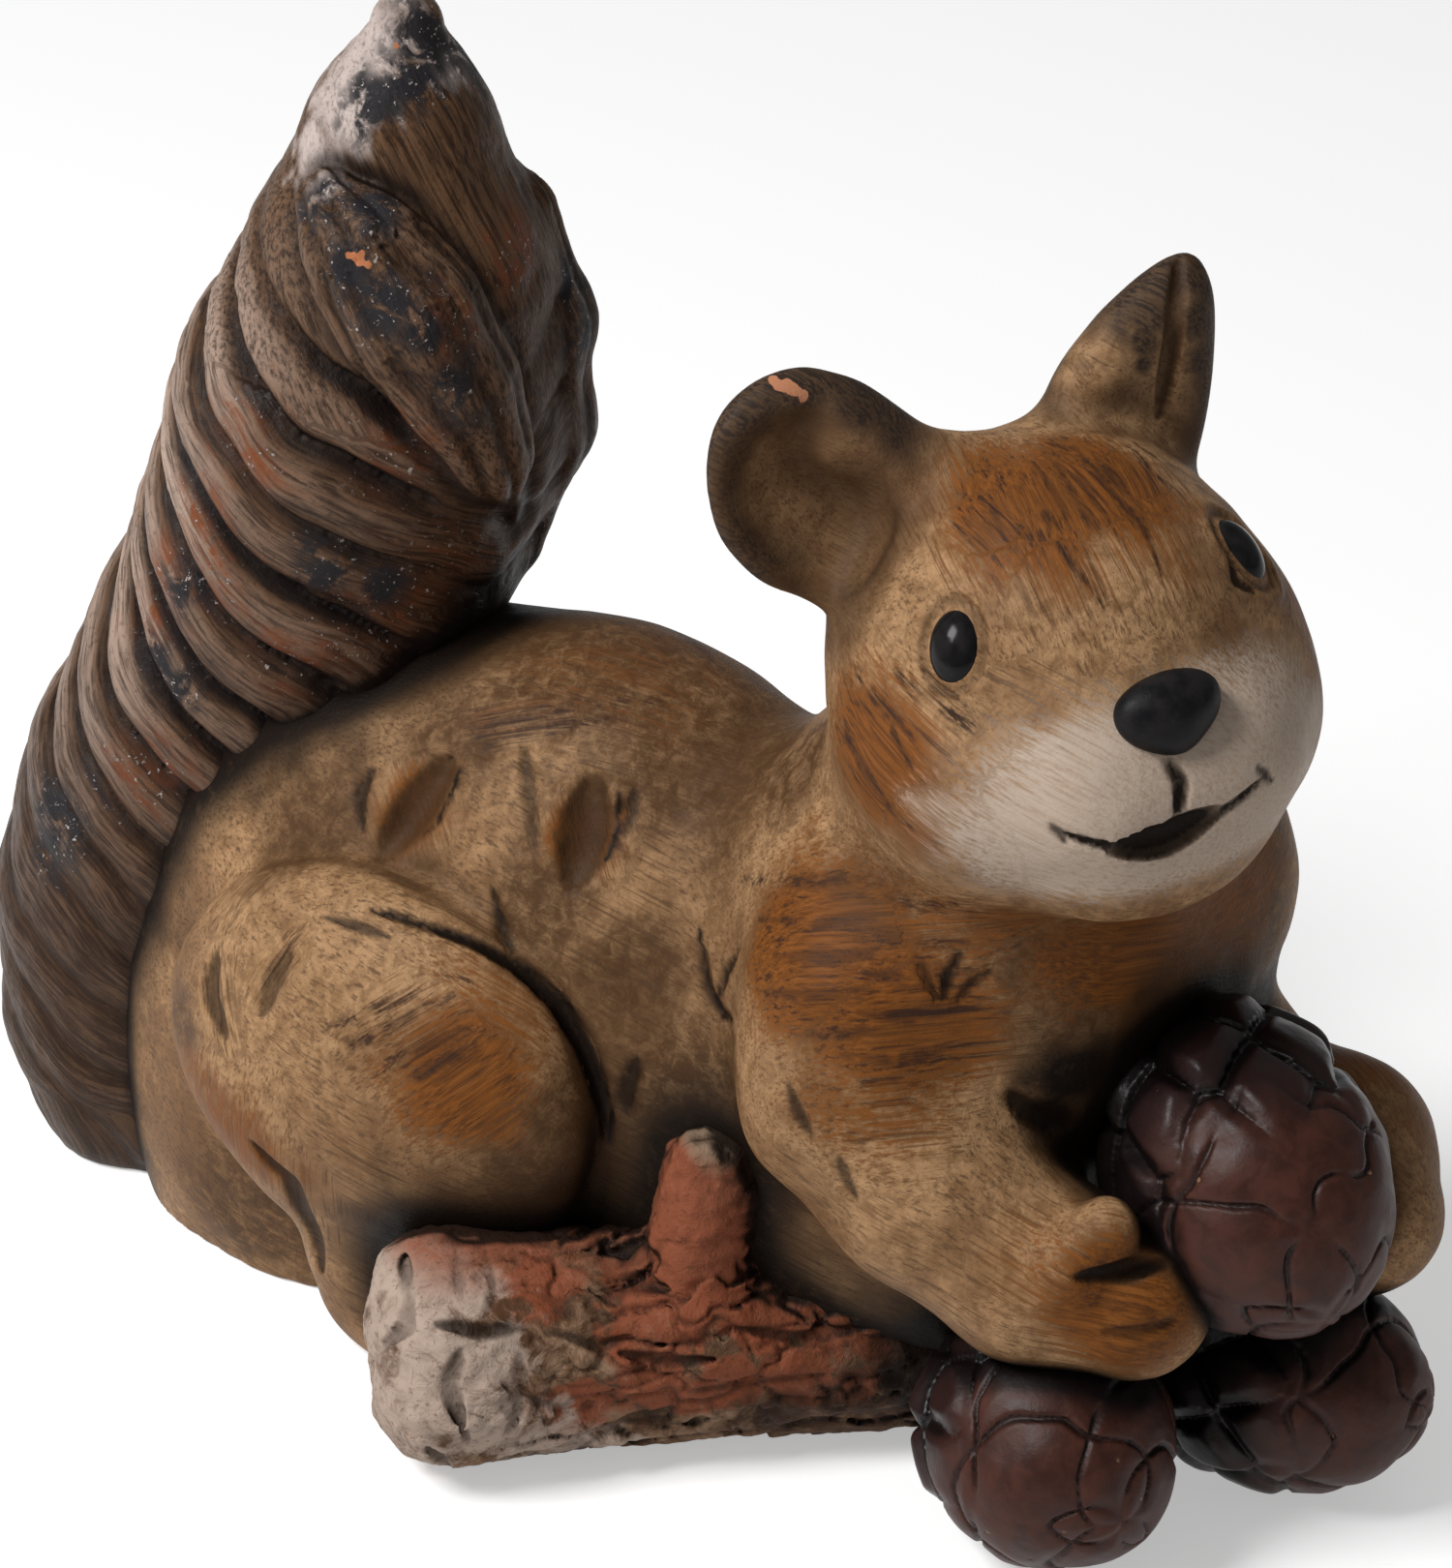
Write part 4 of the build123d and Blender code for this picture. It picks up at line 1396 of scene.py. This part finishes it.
bark_dark_spots = patch_spots(
    [(930, 1410, 9.0), (850, 1300, 9.0), (940, 1330, 9.0), (800, 1465, 6.0), (880, 1455, 6.0)], bark_clay
)
stub_end_spots = patch_spots([(735, 1180, 4.0), (722, 1168, 3.5)], bark_clay)


bark_edge_grain = (3.0, 81)
bark_edge_grit = 0.5
bark_edge_grit_grain = (1.4, 82)
bark_edge_wander = 6
bark_pale_end = (20.0, 2.0)
bark_dark_end = (46.0, 76.0)
bark_red_grain = (9.0, 84)
bark_red_edges = (0.2, 0.6)
bark_gap_edges = (0.11, 0.01)
bark_gap_wash = 0.7
bark_pale_most = 0.9
bark_dark_most = 0.8
bark_red_most = 0.4
bark_smooth_wash = 0.8


def bark_masks(points, normals):
    _, cut_wash = cut_depths(points, bark_lines)
    edge, height = bark_plates(points)
    broken = grain(points, *bark_edge_grain) + bark_edge_grit * grain(points, *bark_edge_grit_grain)
    along = log_place(points)[0] + bark_edge_wander * broken
    pale, red, dark, end_face = (
        patch_mask(points, spots, broken)
        for spots in (bark_pale_spots, bark_red_spots, bark_dark_spots, stub_end_spots)
    )
    gaps = np.maximum(bark_gap_wash * ease(edge, *bark_gap_edges), bark_cracks(points))
    return {
        "pale": np.maximum(pale, bark_pale_most * ease(along, *bark_pale_end)),
        "red": np.maximum(red, bark_red_most * ease(grain(points, *bark_red_grain), *bark_red_edges)),
        "stub": ease(points[:, 2], log_top - 2, log_top + 2),
        "dark": np.maximum(dark, bark_dark_most * ease(along, *bark_dark_end)),
        "stub_end": end_face,
        "plate": height,
        "groove": np.maximum(cut_wash, gaps * (1 - bark_smooth_wash * bark_smooth(points))),
        "crevice": crevice(points, normals),
    }


def cone_masks(name):
    def masks(points, normals):
        cap = cone_cap(points, name)
        edge, _ = cone_scales(points, name)
        return {
            "groove": ease(edge, *cone_groove_edges) * (1 - cap) + cone_lines(points, name)[0] * cap,
            "cap": cap,
            "crevice": crevice(points, normals),
        }
    return masks


def no_masks(points, normals):
    return {}


# Materials

class Finish:
    """Shorthand for the node tree of one finish."""

    def __init__(self, name):
        self.material = bpy.data.materials.new(name)
        self.material.use_nodes = True
        self.nodes = self.material.node_tree.nodes
        self.links = self.material.node_tree.links
        self.shader = self.nodes["Principled BSDF"]
        self.place = self.nodes.new("ShaderNodeTexCoord").outputs["Object"]

    def feed(self, node, inputs):
        """Sets sockets to a number or a colour, or links them to another node's output."""
        for socket, value in inputs.items():
            if isinstance(value, bpy.types.NodeSocket):
                self.links.new(value, node.inputs[socket])
            else:
                node.inputs[socket].default_value = (*value, 1.0) if isinstance(value, tuple) else value
        return node

    def add(self, kind, inputs):
        return self.feed(self.nodes.new("ShaderNode" + kind), inputs)

    def mask(self, name, output="Fac"):
        node = self.add("Attribute", {})
        node.attribute_name = name
        return node.outputs[output]

    def noise(self, texture, place=None):
        inputs = dict(zip(("Scale", "Detail", "Roughness", "Distortion"), texture))
        return self.add("TexNoise", {**inputs, "Vector": place or self.place}).outputs["Fac"]

    def dots(self, scale):
        return self.add("TexVoronoi", {"Scale": scale, "Vector": self.place}).outputs["Distance"]

    def span(self, value, start, end, low=0.0, high=1.0):
        inputs = {"Value": value, "From Min": start, "From Max": end, "To Min": low, "To Max": high}
        node = self.add("MapRange", inputs)
        node.interpolation_type = "SMOOTHSTEP"
        return node.outputs["Result"]

    def sum(self, kind, one, other):
        node = self.add("Math", {0: one, 1: other})
        node.operation = kind
        node.use_clamp = True
        return node.outputs["Value"]

    def times(self, one, other):
        return self.sum("MULTIPLY", one, other)

    def blend(self, share, below, above):
        node = self.nodes.new("ShaderNodeMix")
        node.data_type = "RGBA"
        node.clamp_factor = True
        return self.feed(node, {0: share, 6: below, 7: above}).outputs[2]

    def laid(self, color, above, cover, *levels):
        """A paint laid over a colour by the levels of a mask or a texture."""
        cover = self.mask(cover) if isinstance(cover, str) else cover
        return self.blend(self.span(cover, *levels), color, above)

    def broken(self, color, above, mask, texture, *levels):
        """A paint laid over a colour where its mask is, broken up by the levels of a texture."""
        return self.blend(self.times(self.mask(mask), self.span(texture, *levels)), color, above)

    def ragged(self, mask, texture, low, high):
        """A mask with its edge made ragged by a texture."""
        return self.sum("ADD", self.mask(mask), self.span(texture, 0.3, 0.7, low, high))

    def bump(self, height, distance, strength, under=None):
        inputs = {"Height": height, "Distance": distance, "Strength": strength}
        if under is not None:
            inputs["Normal"] = under
        return self.add("Bump", inputs).outputs["Normal"]

    def done(self, color, roughness, normal, gloss):
        inputs = {"Base Color": color, "Roughness": roughness, "Normal": normal, "Specular IOR Level": gloss}
        self.feed(self.shader, inputs)
        return self.material


# Textures of the finishes: scale, detail, roughness and distortion
fur_tone = (48.0, 4.0, 0.6, 0.3)
fur_mottle = (420.0, 6.0, 0.74, 0.5)
fur_grit = (2100.0, 2.0, 0.6, 0.0)
fur_hair = (1.0, 4.0, 0.7, 0.0)
fur_wide_hair = (0.55, 4.0, 0.7, 0.0)
tail_mottle = (230.0, 5.0, 0.7, 0.6)
tail_grit = (1100.0, 3.0, 0.7, 0.0)
tail_hair = (0.8, 4.0, 0.65, 0.0)
tail_wide_hair = (0.35, 3.0, 0.6, 0.0)
bark_mottle = (260.0, 5.0, 0.75, 0.7)
bark_grit_paint = (1000.0, 3.0, 0.7, 0.0)
cone_mottle = (240.0, 4.0, 0.65, 0.4)
cone_grit_glaze = (1200.0, 2.0, 0.6, 0.0)
black_mottle = (420.0, 3.0, 0.6, 0.0)
black_pores = (1600.0, 2.0, 0.6, 0.0)
pinhole_scale = 150.0
# Fine relief of the paint: depth in metres and strength
fur_hair_relief = (0.0004, 0.35)
fur_grit_relief = (0.0002, 0.35)
tail_hair_relief = (0.0006, 0.45)
tail_grit_relief = (0.0003, 0.4)
bark_relief = (0.0012, 0.45)
bark_grit_relief = (0.0004, 0.5)
cone_grit_relief = (0.0002, 0.25)
pinhole_relief = (0.0004, 0.4)
pore_strength = 0.3
# How much light each finish throws back as a highlight
fur_gloss = 0.09
tail_gloss = 0.13
bark_gloss = 0.09
cone_gloss = 0.22
bead_gloss = 0.11
# Colours of the paints
tan_light = (0.46, 0.27, 0.135)
tan_mid = (0.255, 0.138, 0.062)
tan_dark = (0.165, 0.080, 0.034)
tan_umber_and_shade = (0.078, 0.037, 0.015)
fur_speck = (0.070, 0.036, 0.018)
ochre_paint = (0.235, 0.078, 0.014)
ochre_deep = (0.095, 0.030, 0.006)
stroke_paint = (0.036, 0.017, 0.011)
white_paint = (0.52, 0.41, 0.325)
white_worn = (0.42, 0.31, 0.225)
ear_paint = (0.034, 0.023, 0.018)
clay_bare = (0.50, 0.215, 0.115)
# Near-black of the wash in the cuts, also used for painted shade in joints and hollows
wash_and_shade_paint = (0.010, 0.006, 0.004)


def fur_paint():
    paint = Finish("fur_paint")
    tone = paint.noise(fur_tone)
    mottle = paint.noise(fur_mottle)
    speck = paint.noise(fur_grit)
    brush = paint.mask("brush", "Vector")
    hair = paint.noise(fur_hair, brush)
    wide_hair = paint.noise(fur_wide_hair, brush)
    color = paint.blend(paint.span(mottle, 0.34, 0.64), tan_mid, tan_light)
    color = paint.laid(color, tan_dark, tone, 0.40, 0.68, 0.0, 0.75)
    # Umber paint on the back, with painted shade in the patches under the thighs and on the chest.
    color = paint.broken(color, tan_umber_and_shade, "umber", mottle, 0.35, 0.7, 0.95, 0.55)
    color = paint.laid(color, fur_speck, hair, 0.48, 0.66, 0.0, 0.75)
    color = paint.laid(color, fur_speck, speck, 0.60, 0.74, 0.0, 0.45)
    ochre = paint.blend(paint.span(hair, 0.30, 0.66), ochre_deep, ochre_paint)
    ochre_edge = paint.ragged("ochre", hair, -0.22, 0.22)
    color = paint.laid(color, ochre, ochre_edge, 0.12, 0.85, 0.0, 0.95)
    color = paint.broken(color, stroke_paint, "strokes", wide_hair, 0.50, 0.66, 0.0, 0.9)
    color = paint.broken(color, stroke_paint, "stroke_lines", hair, 0.38, 0.58, 0.15, 1.0)
    white = paint.blend(paint.span(hair, 0.30, 0.58), white_worn, white_paint)
    white_edge = paint.ragged("white", hair, -0.18, 0.18)
    color = paint.laid(color, white, white_edge, 0.10, 0.80)
    color = paint.broken(color, ear_paint, "ear_wash", hair, 0.42, 0.66, 1.0, 0.6)
    color = paint.laid(color, clay_bare, "chip", 0.4, 0.6)
    # Painted shade: the fur is darkened where it is closed in by joints and hollows.
    color = paint.laid(color, tan_umber_and_shade, "crevice", 0.13, 0.40, 0.0, 0.75)
    color = paint.laid(color, wash_and_shade_paint, "crevice", 0.30, 0.75, 0.0, 0.97)
    # Painted shade along the fur's joints with the tail, the log and the cones.
    color = paint.broken(color, wash_and_shade_paint, "soot", mottle, 0.25, 0.5, 0.75, 1.0)
    color = paint.blend(paint.mask("cut_wash"), color, wash_and_shade_paint)
    rough = paint.span(mottle, 0.3, 0.7, 0.42, 0.56)
    normal = paint.bump(hair, *fur_hair_relief)
    normal = paint.bump(speck, *fur_grit_relief, normal)
    return paint.done(color, rough, normal, fur_gloss)


tail_brown = (0.150, 0.078, 0.040)
tail_umber = (0.034, 0.016, 0.008)
tail_crest = (0.50, 0.365, 0.29)
tail_rust = (0.20, 0.060, 0.022)
tail_pale = (0.56, 0.465, 0.425)
tail_black = (0.020, 0.018, 0.020)
tail_groove_and_shade = (0.010, 0.006, 0.005)
tail_speckle = (0.60, 0.53, 0.49)
tail_chip = (0.46, 0.165, 0.07)


def tail_paint():
    paint = Finish("tail_paint")
    mottle = paint.noise(tail_mottle)
    speck = paint.noise(tail_grit)
    hair = paint.noise(tail_hair, paint.mask("brush", "Vector"))
    wide_hair = paint.noise(tail_wide_hair, paint.mask("brush", "Vector"))
    color = paint.blend(paint.span(hair, 0.36, 0.62), tail_umber, tail_brown)
    # Pale drybrush on the ridge crests, strongest on the tail's back where the light falls: partly painted
    # light.
    crest_share = paint.times(paint.mask("crest"), paint.span(hair, 0.32, 0.58, 0.2, 0.95))
    crest_share = paint.times(crest_share, paint.span(paint.mask("back"), 0.0, 0.9, 0.22, 1.0))
    color = paint.blend(crest_share, color, tail_crest)
    rust_share = paint.times(paint.mask("rust"), paint.span(wide_hair, 0.40, 0.58, 0.1, 1.0))
    color = paint.blend(paint.times(rust_share, paint.span(mottle, 0.36, 0.58, 0.1, 1.0)), color, tail_rust)
    # Darker umber on the tail's front, away from the light: partly painted shade.
    color = paint.broken(color, tail_umber, "front", hair, 0.34, 0.62, 0.9, 0.4)
    color = paint.broken(color, tail_pale, "pale", hair, 0.28, 0.52, 0.5, 1.0)
    color = paint.broken(color, tail_umber, "low", hair, 0.34, 0.66, 1.0, 0.5)
    color = paint.laid(color, tail_umber, speck, 0.54, 0.70, 0.0, 0.5)
    color = paint.broken(color, tail_groove_and_shade, "groove", mottle, 0.25, 0.55, 0.8, 1.0)
    color = paint.broken(color, tail_black, "black", mottle, 0.38, 0.52)
    marked = paint.sum("MAXIMUM", paint.mask("black"), paint.times(paint.mask("rust"), 0.8))
    color = paint.blend(paint.times(paint.span(speck, 0.63, 0.68, 0.0, 0.85), marked), color, tail_speckle)
    color = paint.laid(color, tail_chip, "chip", 0.4, 0.6)
    # Painted shade: the tail is blackened where it is closed in by joints and hollows.
    color = paint.laid(color, tail_groove_and_shade, "crevice", 0.30, 0.80, 0.0, 0.94)
    rough = paint.span(mottle, 0.3, 0.7, 0.38, 0.55)
    normal = paint.bump(hair, *tail_hair_relief)
    normal = paint.bump(speck, *tail_grit_relief, normal)
    return paint.done(color, rough, normal, tail_gloss)


bark_tan = (0.33, 0.205, 0.125)
bark_umber = (0.095, 0.045, 0.023)
bark_pale = (0.47, 0.36, 0.29)
bark_red = (0.26, 0.070, 0.032)
bark_brown = (0.036, 0.015, 0.008)
bark_black = (0.012, 0.007, 0.005)
stub_red = (0.26, 0.080, 0.040)
stub_end = (0.26, 0.185, 0.125)


def bark_paint():
    paint = Finish("bark_paint")
    mottle = paint.noise(bark_mottle)
    speck = paint.noise(bark_grit_paint)
    color = paint.blend(paint.span(mottle, 0.38, 0.66), bark_umber, bark_tan)
    color = paint.laid(color, bark_umber, "plate", 0.45, 0.9, 0.0, 0.45)
    red_edge = paint.ragged("red", mottle, -0.35, 0.35)
    color = paint.laid(color, bark_red, red_edge, 0.42, 0.85, 0.0, 0.85)
    color = paint.broken(color, bark_brown, "dark", mottle, 0.3, 0.66, 1.0, 0.72)
    pale_edge = paint.ragged("pale", mottle, -0.45, 0.35)
    color = paint.laid(color, bark_pale, pale_edge, 0.15, 1.0)
    color = paint.broken(color, stub_red, "stub", mottle, 0.3, 0.6, 0.6, 0.95)
    color = paint.blend(paint.times(paint.mask("stub_end"), 0.9), color, stub_end)
    color = paint.laid(color, bark_umber, speck, 0.56, 0.70, 0.0, 0.55)
    color = paint.blend(paint.times(paint.mask("groove"), 0.85), color, bark_black)
    # Painted shade: the log is blackened where the figure closes it in.
    color = paint.laid(color, bark_black, "crevice", 0.26, 0.74, 0.0, 0.95)
    rough = paint.span(mottle, 0.3, 0.7, 0.52, 0.70)
    normal = paint.bump(mottle, *bark_relief)
    normal = paint.bump(speck, *bark_grit_relief, normal)
    return paint.done(color, rough, normal, bark_gloss)


glaze_maroon = (0.064, 0.020, 0.012)
glaze_deep = (0.036, 0.011, 0.007)
glaze_dark = (0.018, 0.010, 0.010)
glaze_black = (0.005, 0.003, 0.003)
glaze_pinhole = (0.26, 0.14, 0.08)


def cone_glaze():
    paint = Finish("cone_glaze")
    mottle = paint.noise(cone_mottle)
    speck = paint.noise(cone_grit_glaze)
    pinhole = paint.dots(pinhole_scale)
    color = paint.blend(paint.span(mottle, 0.32, 0.66), glaze_deep, glaze_maroon)
    color = paint.laid(color, glaze_dark, "cap", 0.0, 1.0, 0.85, 0.0)
    color = paint.laid(color, glaze_pinhole, pinhole, 0.060, 0.035, 0.0, 0.8)
    color = paint.blend(paint.times(paint.mask("groove"), 0.7), color, glaze_black)
    # Painted shade: the cones are blackened where the figure closes them in.
    color = paint.laid(color, glaze_black, "crevice", 0.16, 0.62, 0.0, 0.96)
    rough = paint.sum("ADD", paint.span(mottle, 0.3, 0.7, 0.30, 0.42), paint.times(paint.mask("cap"), 0.10))
    normal = paint.bump(speck, *cone_grit_relief)
    normal = paint.bump(paint.span(pinhole, 0.09, 0.04, 1.0, 0.0), *pinhole_relief, normal)
    return paint.done(color, rough, normal, cone_gloss)


black_deep = (0.006, 0.006, 0.007)
black_worn = (0.016, 0.014, 0.014)


def black_gloss(name, low, high, bump_size):
    paint = Finish(name)
    mottle = paint.noise(black_mottle)
    pores = paint.noise(black_pores)
    color = paint.blend(paint.span(mottle, 0.3, 0.7), black_deep, black_worn)
    rough = paint.span(mottle, 0.3, 0.7, low, high)
    return paint.done(color, rough, paint.bump(pores, bump_size, pore_strength), bead_gloss)


# Making the pieces

mesh_steps = {
    "body_shell": 0.9, "head_shell": 0.5, "ear_right": 0.42, "ear_left": 0.42,
    "thigh_right": 0.6, "thigh_left": 0.6, "hind_foot_right": 0.6, "hind_foot_left": 0.6,
    "foreleg_right": 0.55, "foreleg_left": 0.55,
    "tail_stem": 0.7, "tail_tip_lock": 0.5, "tail_near_lock": 0.45, "tail_far_lock": 0.45,
    "log": 0.5, "branch_stub": 0.4, "cone_held": 0.36, "cone_front": 0.36, "cone_side": 0.36,
    "eye_right": 0.16, "eye_left": 0.16, "nose_button": 0.22,
}
box_margin = 14.0


def mesh_box(name):
    """Box round a CAD node with room for its soft joints, starting below the ground."""
    return spot(name, (0, 0, 0)) - box_margin, spot(name, (1, 1, 1)) + box_margin


def place_piece(name, field, detail, material, masks):
    """Mesh of a piece in the place of its CAD node."""
    coarse = 1.0
    corners, faces = sculpt(field, detail, *mesh_box(name), coarse * mesh_steps[name])
    piece = make_piece(name, corners, faces, material, masks)
    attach(piece, "root")
    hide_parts(name)


def make_family(pieces, detail, material, masks):
    for name in pieces:
        place_piece(name, piece_field(pieces, name), detail, material, masks)


make_family(fur_pieces, fur_detail, fur_paint(), fur_masks)
make_family(tail_pieces, tail_detail, tail_paint(), tail_masks)
make_family(bark_pieces, bark_detail, bark_paint(), bark_masks)
cone_material = cone_glaze()
for cone in cone_forms:
    place_piece(cone, cone_forms[cone], cone_detail(cone), cone_material, cone_masks(cone))

eye_roughness = (0.10, 0.18)
eye_relief = 0.00003
eye_material = black_gloss("eye_gloss", *eye_roughness, eye_relief)
for node, side in (("eye_right", -1), ("eye_left", 1)):
    eye_middle = eye_spots[side] - eye_sink * eye_frames[side][:, 0]
    eye_form = egg(eye_middle, eye_half, eye_frames[side])
    place_piece(node, eye_form, None, eye_material, no_masks)

nose_place = (32.0, 0.0, 1.5)
nose_half = (4.1, 6.5, 5.0)
nose_taper = 0.28
nose_roughness = (0.42, 0.55)
nose_relief = 0.00015
nose_dent = 0.25
nose_dent_grain = (3.5, 91)


def nose_dents(points):
    return nose_dent * grain(points, *nose_dent_grain)


place_piece(
    "nose_button",
    egg(on_head(nose_place), nose_half, head_axes, nose_taper),
    nose_dents,
    black_gloss("nose_satin", *nose_roughness, nose_relief),
    no_masks,
)

# Floor, light and camera

floor_half = 4.0
floor_color = (0.80, 0.80, 0.80, 1.0)
floor_lift = 0.42
floor_roughness = 0.9
floor_corners = ((-1, -1), (1, -1), (1, 1), (-1, 1))
plain_white = (1.0, 1.0, 1.0, 1.0)
sky_fill = 0.22
key_offset = (-0.80, 0.80, 0.48)
key_size = 0.5
key_power = 17.5


def add_floor():
    mesh = bpy.data.meshes.new("floor")
    corners = [(x * floor_half, y * floor_half, 0.0) for x, y in floor_corners]
    mesh.from_pydata(corners, [], [(0, 1, 2, 3)])
    floor = bpy.data.objects.new("floor", mesh)
    bpy.context.collection.objects.link(floor)
    material = bpy.data.materials.new("pale_floor")
    material.use_nodes = True
    nodes, links = material.node_tree.nodes, material.node_tree.links
    shader = nodes["Principled BSDF"]
    shader.inputs["Base Color"].default_value = floor_color
    shader.inputs["Roughness"].default_value = floor_roughness
    shader.inputs["Specular IOR Level"].default_value = 0.0
    shader.inputs["Emission Color"].default_value = plain_white
    path = nodes.new("ShaderNodeLightPath")
    seen = path.outputs["Is Camera Ray"]
    for ray in ("Is Glossy Ray", "Is Transmission Ray"):
        most = nodes.new("ShaderNodeMath")
        most.operation = "MAXIMUM"
        links.new(seen, most.inputs[0])
        links.new(path.outputs[ray], most.inputs[1])
        seen = most.outputs["Value"]
    share = nodes.new("ShaderNodeMath")
    share.operation = "MULTIPLY"
    share.inputs[1].default_value = floor_lift
    links.new(seen, share.inputs[0])
    links.new(share.outputs["Value"], shader.inputs["Emission Strength"])
    mesh.materials.append(material)


def add_area(name, offset, size, power):
    """Square soft lamp aimed at the figure, placed from its middle along the view's right, up and back."""
    middle = view_target / metre
    place = middle + view_right * offset[0] + np.array([0, 0, 1.0]) * offset[1] + view_back * offset[2]
    lamp = bpy.data.lights.new(name, "AREA")
    lamp.size = size
    lamp.energy = power
    thing = bpy.data.objects.new(name, lamp)
    thing.location = place
    thing.rotation_euler = (Vector(place) - Vector(middle)).to_track_quat("Z", "Y").to_euler()
    bpy.context.collection.objects.link(thing)


def add_sky():
    world = bpy.data.worlds.new("studio")
    bpy.context.scene.world = world
    world.use_nodes = True
    sky = world.node_tree.nodes["Background"]
    sky.inputs["Color"].default_value = plain_white
    sky.inputs["Strength"].default_value = sky_fill


def add_camera():
    camera = bpy.data.cameras.new("camera")
    camera.sensor_width = view_sensor
    camera.lens = view_focal_pixels * view_sensor / max(photo_width, photo_height)
    thing = bpy.data.objects.new("camera", camera)
    thing.location = view_point / metre
    thing.rotation_euler = Vector(view_back).to_track_quat("Z", "Y").to_euler()
    bpy.context.collection.objects.link(thing)
    bpy.context.scene.camera = thing


add_floor()
add_area("key", key_offset, key_size, key_power)
add_sky()
add_camera()
bpy.context.scene.view_settings.view_transform = "Standard"
